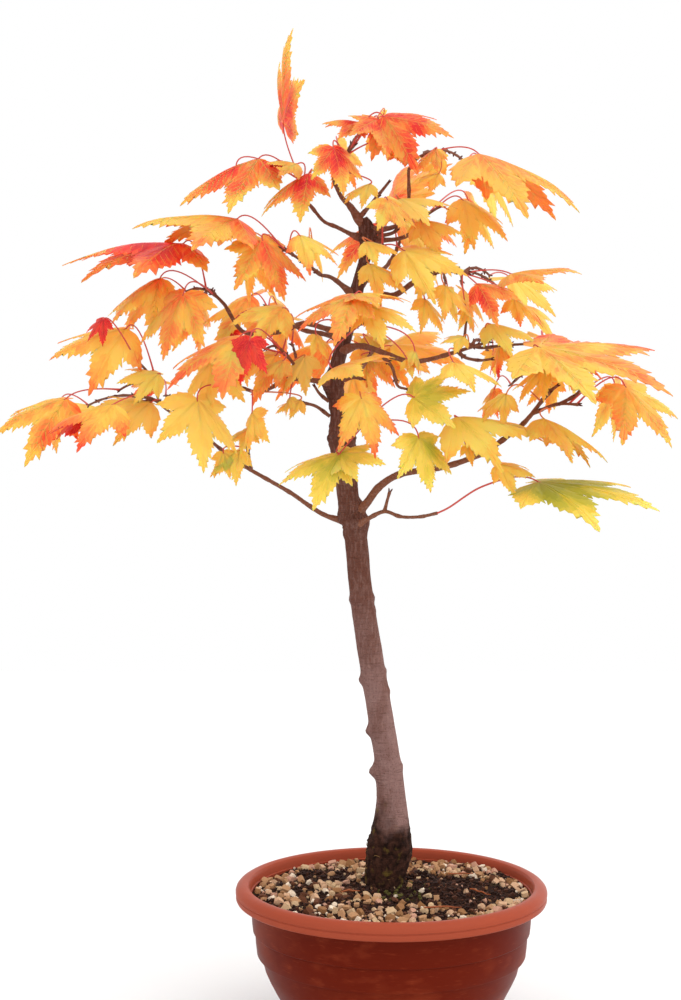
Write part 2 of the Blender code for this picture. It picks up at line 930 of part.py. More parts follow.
def keep_main_body(piece):
    """Drop loose scraps and the walls of sealed hollows, so that one closed body is left."""
    bm = bmesh.new()
    bm.from_mesh(piece.data)
    bmesh.ops.remove_doubles(bm, verts=bm.verts[:], dist=MERGE)
    bodies = []
    waiting = set(bm.faces)
    while waiting:
        body, border = set(), [waiting.pop()]
        while border:
            face = border.pop()
            body.add(face)
            for edge in face.edges:
                joined = [other for other in edge.link_faces if other in waiting]
                waiting.difference_update(joined)
                border.extend(joined)
        bodies.append(body)
    largest = max(bodies, key=len)
    scraps = [face for body in bodies if body is not largest for face in body]
    bmesh.ops.delete(bm, geom=scraps, context="FACES")
    bm.to_mesh(piece.data)
    bm.free()


def crown_depth(across):
    """How far the crown reaches behind the trunk's plane at a place across it, in millimetres."""
    share = (across - CROWN_MIDDLE) / CROWN_HALF_WIDTH
    return CROWN_DEPTH * math.sqrt(max(0.15, 1.0 - share**2))


def rear_leaves(mass, dice):
    """The leaves behind a mass: each hides behind a front leaf, deeper in, and turned by chance."""
    heart = mass.stem[-1][2]
    for number in range(mass.rear):
        front = mass.leaves[number % len(mass.leaves)]
        depth = crown_depth(front.across) * dice.uniform(0.25, 0.85)
        yield Leaf(
            across=front.across + dice.uniform(-REAR_SCATTER, REAR_SCATTER),
            height=front.height + dice.uniform(-REAR_SCATTER, REAR_SCATTER / 2),
            span=min(front.span, 70.0) * dice.uniform(*REAR_SIZE),
            heading=front.heading + dice.uniform(-REAR_TURN, REAR_TURN),
            toward=-depth - min(heart, 0.0),
            roll=dice.uniform(0, 50),
            lean=dice.uniform(-40, -5),
        )


def build_foliage(collection, cutters):
    """Every mass: all the front leaves find their places first, then the leaves behind."""
    space = Space()
    for cutter in cutters.objects:
        shape = bmesh.new()
        shape.from_mesh(cutter.data)
        space.add(cutter.name, shape)
        shape.free()
    masses = [Foliage(mass, space, collection) for mass in MASSES]
    for growing in masses:
        for leaf in growing.mass.leaves:
            growing.grow(leaf)
    for index, growing in enumerate(masses):
        dice = random.Random(SEED + index)
        for leaf in rear_leaves(growing.mass, dice):
            growing.grow(leaf)
    colors = [material(f"autumn_{index}", color, 0.6) for index, color in enumerate(TINTS)]
    for index, growing in enumerate(masses):
        growing.fuse(cutters.objects["around_" + growing.mass.parent])
        growing.piece.data.materials.clear()
        growing.piece.data.materials.append(colors[index % len(colors)])


TINTS = ((0.95, 0.36, 0.03), (0.93, 0.19, 0.03), (0.96, 0.48, 0.05), (0.86, 0.52, 0.06))


def main():
    """Build the whole plant in a clean scene."""
    for old in list(bpy.data.objects):
        bpy.data.objects.remove(old, do_unlink=True)
    collection = bpy.data.collections.new(PART_NAME)
    cutters = bpy.data.collections.new("cutters")
    for group in (collection, cutters):
        bpy.context.scene.collection.children.link(group)
    build_bowl(collection)
    build_soil(collection)
    build_limbs(collection, cutters)
    build_foliage(collection, cutters)
    for cutter in list(cutters.objects):
        remove(cutter)


main()
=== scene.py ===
"""The looks of a potted maple bonsai in autumn leaf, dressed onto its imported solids.

Metres, +Z up. The origin is the centre of the bowl's flat underside and the tree's front faces -Y. Places on
the tree are in millimetres as they look from the front, (across, height, toward), as in the solids' source:
across is to the right of the bowl's axis, height is above its underside, and toward is how far the place
stands out from the axis toward the viewer. A limb's station adds its thickness.
"""

import logging
import math
from collections.abc import Callable, Iterator
from dataclasses import dataclass, field, replace
from enum import Enum
from functools import partial
from random import Random

import bmesh
import bpy
import numpy as np
from bmesh.types import BMesh, BMVert
from bpy.types import Material, Mesh, NodeSocket
from mathutils import Matrix, Quaternion, Vector, noise
from mathutils.bvhtree import BVHTree


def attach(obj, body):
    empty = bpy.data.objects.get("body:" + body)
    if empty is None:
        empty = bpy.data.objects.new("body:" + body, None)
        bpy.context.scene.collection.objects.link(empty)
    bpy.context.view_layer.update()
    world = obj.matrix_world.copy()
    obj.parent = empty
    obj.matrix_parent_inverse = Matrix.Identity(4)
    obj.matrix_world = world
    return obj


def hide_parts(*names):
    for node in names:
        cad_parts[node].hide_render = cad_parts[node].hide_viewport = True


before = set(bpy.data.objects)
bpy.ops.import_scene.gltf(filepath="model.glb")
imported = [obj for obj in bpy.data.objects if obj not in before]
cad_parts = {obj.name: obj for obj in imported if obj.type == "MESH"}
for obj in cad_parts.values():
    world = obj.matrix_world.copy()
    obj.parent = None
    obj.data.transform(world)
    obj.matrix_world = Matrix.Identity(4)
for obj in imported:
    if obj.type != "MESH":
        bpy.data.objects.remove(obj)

LOG = logging.getLogger("bonsai")
MM = 0.001
ROOT = "root"
MERGE = 1e-7
# The eye that the tree's places are given from. The studio's camera stands a little higher.
EYE = Vector((-40.4, -1255.0, 431.4)) * MM

Color = tuple[float, float, float]
Pair = tuple[float, float]
Triple = tuple[float, float, float]
Station = tuple[float, ...]
Relief = Callable[[Vector, Vector, float], float]


# --- places and paths


def stretch(toward: float) -> float:
    """How much farther from the eye a place is than the plane through the bowl's axis, as a share."""
    return (-EYE.y - toward * MM) / -EYE.y


def placed(across: float, height: float, toward: float) -> Vector:
    """The point that looks from the front to be at across and height, and stands toward the viewer."""
    return EYE + (Vector((across * MM, 0.0, height * MM)) - EYE) * stretch(toward)


def within(value: float, low: float = 0.0, high: float = 1.0) -> float:
    """The value, held between two limits."""
    return min(high, max(low, value))


def linear(red: float, green: float, blue: float, strength: float = 1.0) -> Color:
    """A colour named by its screen values, as light.

    Args:
        red: The screen value of red, 0 to 255.
        green: The screen value of green.
        blue: The screen value of blue.
        strength: A factor on the light.

    Returns:
        The linear colour.
    """
    shares = [value / 255 for value in (red, green, blue)]
    light = [share / 12.92 if share <= 0.04045 else ((share + 0.055) / 1.055) ** 2.4 for share in shares]
    return tuple(value * strength for value in light)


def smooth_path(stations: tuple[Station, ...], spacing: float) -> tuple[list[Vector], list[float]]:
    """A smooth line through a limb's stations.

    Args:
        stations: The (across, height, toward, thickness) of each station.
        spacing: How far apart the line's points are, in millimetres.

    Returns:
        The points, and the limb's radius at each.
    """
    knots = [placed(*station[:3]) for station in stations]
    radii = [station[3] / 2 * MM * stretch(station[2]) for station in stations]
    points, sizes = [knots[0]], [radii[0]]
    for index in range(len(knots) - 1):
        start, end = knots[index], knots[index + 1]
        before = knots[index - 1] if index else start * 2 - end
        after = knots[index + 2] if index + 2 < len(knots) else end * 2 - start
        steps = max(1, round((end - start).length / (spacing * MM)))
        for step in range(1, steps + 1):
            share = step / steps
            pull = (end - before) * 0.5
            push = (after - start) * 0.5
            cube, square = share**3, share**2
            points.append(
                start * (2 * cube - 3 * square + 1)
                + pull * (cube - 2 * square + share)
                + end * (3 * square - 2 * cube)
                + push * (cube - square)
            )
            sizes.append(radii[index] + (radii[index + 1] - radii[index]) * share)
    return points, sizes


def arc_path(start: Vector, bend: Vector, end: Vector, steps: int) -> list[Vector]:
    """Points along the curve that leaves start for bend and arrives at end from it."""
    shares = [step / steps for step in range(steps + 1)]
    return [start.lerp(bend, share).lerp(bend.lerp(end, share), share) for share in shares]


def nearest_on(path: list[Vector], point: Vector) -> Vector:
    """The place on a path that is nearest to a point.

    Args:
        path: The path's points.
        point: The point.

    Returns:
        The place.
    """
    best = path[-1]
    for start, end in zip(path, path[1:], strict=False):
        way = end - start
        spot = start + way * within((point - start).dot(way) / way.length_squared)
        if (spot - point).length < (best - point).length:
            best = spot
    return best


# --- making meshes


def to_mesh(bm: BMesh, name: str) -> Mesh:
    """Turn a bmesh, which is freed, into a mesh.

    Args:
        bm: The bmesh.
        name: The mesh's name.

    Returns:
        The mesh.
    """
    mesh = bpy.data.meshes.new(name)
    bm.to_mesh(mesh)
    bm.free()
    return mesh


def gridded(bm: BMesh, columns: int, rows: int) -> Iterator[tuple[BMVert, int, int]]:
    """Add a flat grid from -1 to 1, and give each of its points with its column and row, to be bent."""
    for vert in bmesh.ops.create_grid(bm, x_segments=columns, y_segments=rows, size=1.0)["verts"]:
        yield vert, round((vert.co.x + 1) / 2 * columns), round((vert.co.y + 1) / 2 * rows)


def close(bm: BMesh) -> None:
    """Fill the open ends of a bmesh and turn its faces outward."""
    bmesh.ops.holes_fill(bm, edges=[edge for edge in bm.edges if edge.is_boundary])
    bmesh.ops.recalc_face_normals(bm, faces=bm.faces[:])


def carried_frames(path: list[Vector]) -> list[tuple[Vector, Vector]]:
    """Carry two directions across a path along it, with no twist.

    Args:
        path: The path's points.

    Returns:
        The two directions at each point.
    """
    ways = [(after - before).normalized() for before, after in zip(path, path[1:], strict=False)]
    ways.append(ways[-1])
    side = ways[0].orthogonal().normalized()
    if abs(ways[0].z) < 0.98:
        side = ways[0].cross(Vector((0, 0, 1))).normalized()
    frames = [(side, ways[0].cross(side))]
    for before, way in zip(ways, ways[1:], strict=False):
        side = before.rotation_difference(way) @ side
        side = (side - way * side.dot(way)).normalized()
        frames.append((side, way.cross(side)))
    return frames


def tube(path: list[Vector], radii: list[float], sides: int, relief: Relief | None = None) -> BMesh:
    """A closed round limb along a path.

    Args:
        path: The middle line.
        radii: The radius at each of its points.
        sides: How many sides the limb has.
        relief: What to add to the radius, from a point of the middle line, the way out and the angle.

    Returns:
        The limb's bmesh.
    """
    frames = carried_frames(path)
    bm = bmesh.new()
    for vert, column, row in gridded(bm, sides, len(path) - 1):
        turn = math.tau * (column % sides) / sides
        outward = frames[row][0] * math.cos(turn) + frames[row][1] * math.sin(turn)
        radius = radii[row] + (relief(path[row], outward, turn) if relief else 0.0)
        vert.co = path[row] + outward * radius
    bmesh.ops.remove_doubles(bm, verts=bm.verts[:], dist=MERGE)
    close(bm)
    return bm


class Gathering:
    """Many small shapes that are joined into one piece's mesh."""

    def __init__(self) -> None:
        """Start with nothing."""
        self.bm = bmesh.new()

    def add_mesh(self, mesh: Mesh) -> None:
        """Join on a mesh, which is then freed."""
        self.bm.from_mesh(mesh)
        bpy.data.meshes.remove(mesh)

    def add(self, part: BMesh, slot: int = 0) -> None:
        """Join on a shape, which is then freed.

        Args:
            part: The shape.
            slot: The slot of its finish.
        """
        for face in part.faces:
            face.material_index = slot
        self.add_mesh(to_mesh(part, "part"))


def show(
    bm: BMesh, name: str, finishes: list[Material], nodes: tuple[str, ...] = (), crease: float = 50
) -> bpy.types.Object:
    """Make a piece of the object.

    Args:
        bm: Its shape, which is freed.
        name: The piece's name.
        finishes: Its materials, by slot.
        nodes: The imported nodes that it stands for.
        crease: The angle from which an edge shows as sharp, in degrees.

    Returns:
        The piece.
    """
    mesh = to_mesh(bm, name)
    for finish in finishes:
        mesh.materials.append(finish)
    mesh.shade_smooth()
    mesh.set_sharp_from_angle(angle=math.radians(crease))
    piece = bpy.data.objects.new(name, mesh)
    bpy.context.scene.collection.objects.link(piece)
    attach(piece, ROOT)
    if nodes:
        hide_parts(*nodes)
    LOG.info("%s: %d faces", name, len(mesh.polygons))
    return piece


# --- finishes


class Nodes:
    """A tree of nodes, added one at a time."""

    def __init__(self, tree: bpy.types.NodeTree) -> None:
        """Start with the tree as it is."""
        self.tree = tree

    def wire(self, source: NodeSocket, target: NodeSocket) -> None:
        """Link two sockets."""
        self.tree.links.new(source, target)

    def node(self, kind: str, inputs: dict | None = None, **settings: object) -> bpy.types.Node:
        """Add a node.

        Args:
            kind: Its kind, without ShaderNode.
            inputs: A value or the socket of another node for each of its inputs.
            settings: What else to set on it.

        Returns:
            The node.
        """
        made = self.tree.nodes.new("ShaderNode" + kind)
        for name, value in settings.items():
            setattr(made, name, value)
        for name, value in (inputs or {}).items():
            if isinstance(value, NodeSocket):
                self.wire(value, made.inputs[name])
            else:
                made.inputs[name].default_value = value
        return made

    def range(self, value: NodeSocket, source: Pair, target: Pair) -> NodeSocket:
        """The value, mapped from one range to another."""
        limits = dict(zip(("From Min", "From Max", "To Min", "To Max"), (*source, *target), strict=True))
        return self.node("MapRange", {"Value": value, **limits}).outputs["Result"]


class Graph(Nodes):
    """A material's nodes, round its shader."""

    def __init__(self, name: str, roughness: float, specular: float) -> None:
        """Start a material with constant gloss values on its shader.

        Args:
            name: The material's name.
            roughness: The roughness.
            specular: The specular level.
        """
        self.material = bpy.data.materials.new(name)
        self.material.use_nodes = True
        super().__init__(self.material.node_tree)
        self.inputs = self.tree.nodes["Principled BSDF"].inputs
        self.inputs["Roughness"].default_value = roughness
        self.inputs["Specular IOR Level"].default_value = specular

    def paint(self, color: Color) -> None:
        """Set one colour all over."""
        self.inputs["Base Color"].default_value = (*color, 1.0)
        self.material.diffuse_color = (*color, 1.0)

    def place(self, scale: Triple = (1, 1, 1)) -> NodeSocket:
        """The place on the object in metres, scaled along each axis."""
        place = self.node("TexCoord").outputs["Object"]
        return self.node("Mapping", {"Scale": scale, "Vector": place}).outputs["Vector"]

    def noise(self, scale: Triple, detail: float = 4.0) -> NodeSocket:
        """Noise with so many features a metre along each axis."""
        inputs = {"Scale": 1.0, "Detail": detail, "Vector": self.place(scale)}
        return self.node("TexNoise", inputs).outputs["Fac"]

    def height(self) -> NodeSocket:
        """The height on the object in metres."""
        return self.node("SeparateXYZ", {0: self.place()}).outputs["Z"]

    def sum(self, first: NodeSocket, second: NodeSocket, share: float) -> NodeSocket:
        """The first value and a share of the second."""
        return self.node("Math", {0: second, 1: share, 2: first}, operation="MULTIPLY_ADD").outputs[0]

    def ramp(self, value: NodeSocket, stops: tuple[tuple[float, Color], ...]) -> NodeSocket:
        """Give a colour for each value from 0 to 1.

        Args:
            value: The value.
            stops: The values at which the colours are set, with their colours.

        Returns:
            The colour's socket.
        """
        made = self.node("ValToRGB", {0: value})
        elements = made.color_ramp.elements
        while len(elements) < len(stops):
            elements.new(1.0)
        for element, (position, color) in zip(elements, stops, strict=True):
            element.position = position
            element.color = (*color, 1.0)
        return made.outputs["Color"]

    def mix(self, share: NodeSocket, first: NodeSocket, second: NodeSocket | Color) -> NodeSocket:
        """The first colour, covered with the second where the share is high."""
        above = second if isinstance(second, NodeSocket) else (*second, 1.0)
        return self.node("Mix", {0: share, 6: first, 7: above}, data_type="RGBA").outputs[2]

    def cover(self, base: NodeSocket, value: NodeSocket, band: Pair, most: float, tint: Color) -> NodeSocket:
        """The base colour, covered with a tint from nothing to the most as the value rises through a band."""
        return self.mix(self.range(value, band, (0, most)), base, tint)

    def relief(self, value: NodeSocket, depth: float) -> None:
        """Raise the surface by the value times a depth in metres."""
        bump = self.node("Bump", {"Distance": depth, "Height": value})
        self.wire(bump.outputs["Normal"], self.inputs["Normal"])


@dataclass(frozen=True)
class PlainFinish:
    """One colour with fine relief and uneven gloss, for small things that are joined in their hundreds.

    Grain is in features a metre and depth in metres. With a thickness, light also comes through a thin
    wall of it, in the finish's own colour.
    """

    name: str
    color: Color
    roughness: float = 0.55
    grain: float = 900.0
    depth: float = 0.00012
    specular: float = 0.2
    thickness: float = 0.0
    through: float = 0.6
    duller: float = 0.1
    glossier: float = 0.08

    def material(self) -> Material:
        """Make the finish.

        Returns:
            Its material.
        """
        graph = Graph(self.name, self.roughness, self.specular)
        graph.paint(self.color)
        if self.thickness:
            graph.inputs["Subsurface Weight"].default_value = self.through
            graph.inputs["Subsurface Scale"].default_value = self.thickness
            reach = [-1 / math.log(within(value, 0.02, 0.97)) for value in self.color]
            graph.inputs["Subsurface Radius"].default_value = reach
        grain = graph.noise((self.grain, self.grain, self.grain))
        gloss = (self.roughness - self.glossier, self.roughness + self.duller)
        graph.wire(graph.range(grain, (0.3, 0.7), gloss), graph.inputs["Roughness"])
        graph.relief(grain, self.depth)
        return graph.material


@dataclass(frozen=True)
class BarkFinish:
    """Bark that is dark and crusted at the foot, mauve-grey above, and redder toward the top."""

    name: str
    grain: Triple = (520, 520, 130)
    crust: Color = linear(74, 46, 36)
    black: Color = linear(34, 20, 16)
    moss: Color = linear(112, 92, 42)
    grey: Color = linear(146, 112, 106)
    pale: Color = linear(170, 136, 128)
    red: Color = linear(108, 68, 57)
    dark: Color = linear(84, 52, 42)
    foot_to_top: Pair = (0.1, 0.7)
    crust_edge: Pair = (0.162, 0.186)
    unevenness: float = 0.07
    depth: float = 0.0014

    def material(self) -> Material:
        """Make the finish.

        Returns:
            Its material.
        """
        graph = Graph(self.name, 0.8, 0.08)
        wander = graph.noise((50, 50, 50), 5)
        height = graph.sum(graph.height(), graph.range(wander, (0, 1), (-0.5, 0.5)), self.unevenness)
        share = graph.range(height, self.foot_to_top, (0, 1))
        greys = ((0.0, self.grey), (0.28, self.grey))
        reds = ((0.44, self.red), (0.62, self.red))
        color = graph.ramp(share, (*greys, *reds, (0.8, self.dark), (1.0, self.dark)))
        blotches = graph.noise((55, 55, 30), 5)
        rings = graph.noise((60, 60, 1300), 3)
        streaks = graph.noise(self.grain, 5)
        specks = graph.noise((1100, 1100, 800), 2)
        color = graph.cover(color, blotches, (0.48, 0.66), 0.75, self.red)
        color = graph.cover(color, streaks, (0.45, 0.8), 0.45, self.pale)
        color = graph.cover(color, rings, (0.55, 0.70), 0.45, self.dark)
        color = graph.cover(color, specks, (0.58, 0.72), 0.7, self.dark)
        rough = graph.ramp(graph.noise((240, 240, 190), 6), ((0.35, self.black), (0.62, self.crust)))
        rough = graph.cover(rough, graph.noise((120, 120, 120), 4), (0.58, 0.7), 0.8, self.moss)
        color = graph.mix(graph.range(height, self.crust_edge, (1, 0)), color, rough)
        graph.wire(color, graph.inputs["Base Color"])
        graph.relief(graph.sum(graph.sum(streaks, rings, 0.8), specks, 0.6), self.depth)
        graph.wire(graph.range(specks, (0.3, 0.7), (0.7, 0.95)), graph.inputs["Roughness"])
        return graph.material


@dataclass(frozen=True)
class BowlFinish:
    """Satin terracotta plastic: lighter on the rim, darker below partly in its own tone and partly as painted
    shade under the rim and a painted dark reflection, with handling marks and dust, and a painted sheen in
    lighter horizontal streaks.
    """

    name: str = "terracotta_plastic"
    rim: Color = linear(160, 72, 50)
    # The body and low tones are darker than the rim: partly the plastic's own deeper tone, partly painted
    # shade cast by the rim and a painted dark reflection; the band just under the rim is the darkest.
    body: Color = linear(98, 24, 6)
    low: Color = linear(105, 29, 9)
    # This lighter tint is real dust where the clouds and marks lay it, and a painted sheen where the thin
    # horizontal streaks lay it.
    dust_and_sheen: Color = linear(186, 84, 50)
    height: float = 0.125
    depth: float = 0.0002

    def material(self) -> Material:
        """Make the finish.

        Returns:
            Its material.
        """
        graph = Graph(self.name, 0.34, 0.05)
        # Darker from the rim down: the plastic's deeper tone, with painted shade under the rim and a painted
        # dark reflection on the body.
        share = graph.range(graph.height(), (0.0, self.height), (0, 1))
        lower, upper = ((0.0, self.low), (0.35, self.low)), ((0.7, self.body), (0.89, self.body))
        color = graph.ramp(share, (*lower, *upper, (0.9, self.rim)))
        clouds = graph.noise((16, 16, 26), 6)
        marks = graph.noise((50, 50, 120), 6)
        # Thin horizontal streaks, lightened with the dust tint below as a painted sheen; they also give a
        # little relief.
        sheen_streaks = graph.noise((120, 120, 900), 4)
        color = graph.cover(color, clouds, (0.5, 0.75), 0.26, self.dust_and_sheen)
        color = graph.cover(color, marks, (0.56, 0.74), 0.14, self.dust_and_sheen)
        color = graph.cover(color, sheen_streaks, (0.6, 0.75), 0.16, self.dust_and_sheen)
        graph.wire(color, graph.inputs["Base Color"])
        graph.wire(graph.range(clouds, (0.3, 0.7), (0.3, 0.48)), graph.inputs["Roughness"])
        graph.relief(graph.sum(clouds, sheen_streaks, 0.12), self.depth)
        return graph.material


@dataclass(frozen=True)
class SoilFinish:
    """Damp dark soil with crumbs and a little moss."""

    name: str = "dark_soil"
    wet: Color = linear(30, 17, 13)
    dry: Color = linear(74, 46, 34)
    moss: Color = linear(66, 60, 24)
    depth: float = 0.004

    def material(self) -> Material:
        """Make the finish.

        Returns:
            Its material.
        """
        graph = Graph(self.name, 0.95, 0.08)
        crumbs = graph.noise((420, 420, 420), 6)
        color = graph.ramp(crumbs, ((0.38, self.wet), (0.68, self.dry)))
        color = graph.cover(color, graph.noise((75, 75, 75), 4), (0.6, 0.72), 0.55, self.moss)
        graph.wire(color, graph.inputs["Base Color"])
        graph.relief(crumbs, self.depth)
        return graph.material


# --- autumn colours


@dataclass(frozen=True)
class Flush:
    """How far a leaf has turned, from 0, still green, to 1, deep red, in each of its zones."""

    heart: float
    body: float
    margin: float
    tips: float
    mottle: float = 0.07
    lopsided: float = 0.05


class Turn(Enum):
    """The ways in which the leaves of this tree have turned."""

    LIME = Flush(0.12, 0.16, 0.24, 0.32, 0.06)
    LIME_RED = Flush(0.02, 0.05, 0.10, 0.42, 0.05)
    OLIVE = Flush(0.36, 0.40, 0.43, 0.48, 0.06)
    OLIVE_RED = Flush(0.24, 0.28, 0.36, 0.44, 0.06, 0.08)
    PALE = Flush(0.42, 0.43, 0.44, 0.46, 0.03)
    # A paler yellow than gold, given to viewer-facing leaves that sit in shade, as painted light.
    PAINTED_LIGHT_YELLOW = Flush(0.35, 0.38, 0.39, 0.43, 0.03)
    EDGED = Flush(0.47, 0.46, 0.60, 0.66, 0.06, 0.05)
    GOLD = Flush(0.49, 0.46, 0.47, 0.52, 0.06)
    GOLD_RED = Flush(0.50, 0.47, 0.52, 0.76, 0.07, 0.10)
    AMBER = Flush(0.57, 0.53, 0.53, 0.60, 0.08, 0.07)
    AMBER_FLUSHED = Flush(0.62, 0.58, 0.54, 0.70, 0.14, 0.18)
    HONEY = Flush(0.66, 0.53, 0.48, 0.54, 0.10, 0.08)
    HALF = Flush(0.72, 0.61, 0.54, 0.56, 0.11, 0.14)
    ORANGE = Flush(0.69, 0.62, 0.57, 0.66, 0.10, 0.08)
    EMBER = Flush(0.88, 0.84, 0.54, 0.62, 0.12, 0.06)
    FLAME = Flush(0.86, 0.80, 0.68, 0.76, 0.11, 0.06)
    SALMON = Flush(0.66, 0.59, 0.57, 0.68, 0.09, 0.08)
    SCARLET = Flush(0.93, 0.90, 0.80, 0.62, 0.10, 0.10)
    CRIMSON = Flush(0.94, 0.92, 0.90, 0.90, 0.05)


@dataclass(frozen=True)
class Side:
    """A side of the blades: its name, how rough and how light it is, and how far it is paled."""

    name: str
    roughness: float
    light: float
    paleness: float


@dataclass(frozen=True)
class AutumnRamp:
    """The colours from green to deep red as plain finishes, for the blades' faces and undersides."""

    steps: int = 22
    sides: tuple[Side, ...] = (Side("face", 0.5, 1.0, 0.0), Side("underside", 0.62, 0.9, 0.22))
    light: float = 0.98
    keys: tuple[tuple[float, Triple], ...] = (
        (0.00, (158, 160, 50)), (0.12, (196, 184, 62)), (0.22, (230, 200, 80)), (0.32, (250, 208, 98)),
        (0.40, (255, 206, 98)), (0.48, (255, 192, 82)), (0.56, (255, 174, 74)), (0.64, (255, 152, 70)),
        (0.72, (253, 124, 60)), (0.80, (246, 92, 50)), (0.88, (230, 58, 44)), (1.00, (200, 28, 40)),
    )
    pale: Triple = (240, 204, 120)
    thickness: float = 0.00034
    grain: float = 1400.0
    depth: float = 0.00006

    def color(self, level: float, side: Side) -> Color:
        """The colour of a level of the ramp.

        Args:
            level: The level, from 0 to 1.
            side: The side of the blade.

        Returns:
            The linear colour.
        """
        for (low, first), (high, second) in zip(self.keys, self.keys[1:], strict=False):
            if level <= high:
                share = (level - low) / (high - low)
                mixed = [a + (b - a) * share for a, b in zip(first, second, strict=True)]
                break
        mixed = [a + (b - a) * side.paleness for a, b in zip(mixed, self.pale, strict=True)]
        return linear(*mixed, strength=self.light * side.light)

    def finish(self, side: Side, step: int) -> PlainFinish:
        """The finish of one step of the ramp on a side of the blades."""
        color, name = self.color(step / (self.steps - 1), side), f"autumn_{side.name}_{step:02d}"
        return PlainFinish(name, color, side.roughness, self.grain, self.depth, 0.2, self.thickness)

    def materials(self) -> list[Material]:
        """A material for each step of the faces, then for each step of the undersides."""
        return [self.finish(side, step).material() for side in self.sides for step in range(self.steps)]


# --- the tree's plan


@dataclass(frozen=True)
class Limb:
    """The trunk or a bough: one tapering limb through stations (across, height, toward, thickness)."""

    name: str
    stations: tuple[Station, ...]


@dataclass(frozen=True)
class Hang:
    """How a blade hangs: its extra turn skyward, its halves' fold, its droop in spans, its give to waves."""

    tilt: float
    fold: float
    droop: float
    give: float = 1.0


class Pose(Enum):
    """The ways in which the blades of this tree hang."""

    FLAT = Hang(4, 12, 0.10)
    SLANT = Hang(20, 20, 0.22)
    THIN = Hang(34, 28, 0.28)
    RAISED = Hang(27, 6, 0.20)
    LEVEL = Hang(50, 5, 0.14)
    SPREAD = Hang(14, 3, 0.07, 0.6)
    SHELF = Hang(28, 3, 0.05, 0.5)
    EDGE = Hang(8, 2, 0.0, 0.3)


@dataclass(frozen=True)
class Leaf:
    """A leaf as seen from the front, placed by the junction of its stalk and blade.

    Span is from the junction to the middle lobe's tip, heading is where that lobe points in degrees
    counter-clockwise from the right, toward is measured from its mass's heart, roll turns the blade's
    face from the viewer to the sky about that lobe, and lean points the lobe at the viewer.
    """

    across: float
    height: float
    span: float
    heading: float
    toward: float
    turn: Turn
    pose: Pose = Pose.SLANT
    roll: float = 30.0
    lean: float = 24.0
    under: bool = False


@dataclass(frozen=True)
class Mass:
    """One mass of foliage: a stem from its limb to its heart, its front leaves, and the count behind."""

    name: str
    stem: tuple[Triple, ...]
    leaves: tuple[Leaf, ...]
    rear: int = 0
    extra: tuple[Leaf, ...] = ()
    slender: bool = False


TRUNK = Limb("trunk", (
    (-6, 106, -15, 31), (-6, 121, -15, 31), (-4, 135, -15, 34), (-1, 155, -14, 36), (0, 167, -13, 31),
    (0, 191, -12, 23.5), (-3, 223, -10, 21), (-16, 303, -6, 19.7), (-23, 349, -4, 18.4), (-28, 399, -2, 18),
    (-30, 415, -1, 20.5), (-34, 431, 0, 17.2), (-37, 458, 1, 17.8), (-39, 479, 2, 21.4), (-40, 497, 2, 18),
    (-44, 511, 1, 12.5), (-46, 523, 0, 17), (-44, 535, -1, 11.6), (-35, 567, -3, 10.6),
    (-28, 595, -4, 10.8), (-22, 619, -3, 8.6), (-18, 640, -2, 13.6), (-20, 648, -1, 12), (-23, 655, 0, 8),
))

BOUGHS = (
    Limb("bough_low_right", (
        (-31, 416, 0, 10), (-20, 427, 5, 9.4), (-9, 441, 9, 8.4), (8, 451, 15, 7.6), (39, 456, 24, 6.8),
        (62, 463, 30, 6.4), (77, 470, 34, 6.0), (98, 485, 39, 5.6), (109, 495, 42, 5.2),
        (120, 509, 44, 4.6),
    )),
    Limb("bough_thin_right", (
        (-30, 408, 2, 6), (-17, 416, 14, 5), (-5, 421, 22, 4.2), (8, 417, 30, 3.8), (23, 417, 38, 3.6),
        (37, 420, 45, 3.8),
    )),
    Limb("bough_low_left", (
        (-32, 412, -1, 7), (-51, 417, -10, 5.6), (-65, 425, -14, 5), (-81, 436, -17, 4.6),
        (-109, 452, -18, 4.4), (-126, 462, -16, 4),
    )),
    Limb("bough_knot_left", (
        (-46, 523, 2, 7), (-57, 525, 10, 6), (-82, 527, 20, 5), (-98, 519, 25, 4.4), (-110, 517, 28, 4),
    )),
    Limb("bough_mid_right", (
        (-41, 549, 0, 8), (-22, 553, 7, 6.6), (10, 542, 14, 5.8), (28, 542, 18, 5.2), (53, 549, 22, 4.6),
    )),
    Limb("bough_mid_left", (
        (-37, 562, -2, 7), (-68, 571, -12, 5.6), (-83, 566, -16, 5), (-99, 563, -18, 4.6),
        (-119, 565, -18, 4.4), (-133, 586, -16, 4),
    )),
    Limb("bough_high_right", (
        (-29, 589, -2, 8), (-10, 594, 4, 7.4), (3, 594, 9, 7), (19, 605, 14, 5.6), (27, 610, 16, 4.6),
    )),
    Limb("bough_high_left", ((-29, 593, -3, 6), (-46, 607, 6, 4.8), (-56, 610, 12, 4))),
    Limb("bough_upper_right", ((-18, 638, -2, 6), (0, 638, -8, 5), (10, 640, -12, 4.4), (17, 644, -15, 4))),
    Limb("bough_top_right", (
        (-17, 645, 0, 6), (1, 648, 4, 5), (9, 653, 5, 4.4), (14, 668, 4, 4), (14, 694, 1, 3.4),
    )),
    Limb("bough_top_left", ((-23, 650, 0, 8), (-32, 664, 5, 7), (-40, 673, 9, 5), (-46, 686, 12, 3.6))),
    Limb("bough_shoot_left", (
        (-20, 638, -3, 6), (-31, 642, -6, 5), (-43, 648, -9, 4.4), (-54, 653, -12, 4), (-65, 666, -14, 3.6),
    )),
    Limb("bough_back_low", (
        (-45, 521, -2, 8), (-38, 528, -24, 6.4), (-26, 532, -52, 5.4), (-20, 540, -84, 4.4),
    )),
    Limb("bough_back_left", (
        (-38, 557, -3, 7), (-52, 562, -26, 5.6), (-72, 566, -58, 4.8), (-84, 575, -88, 4),
    )),
    Limb("bough_back_high", (
        (-27, 600, -4, 7), (-16, 608, -24, 5.4), (-4, 616, -52, 4.8), (4, 628, -76, 4),
    )),
)

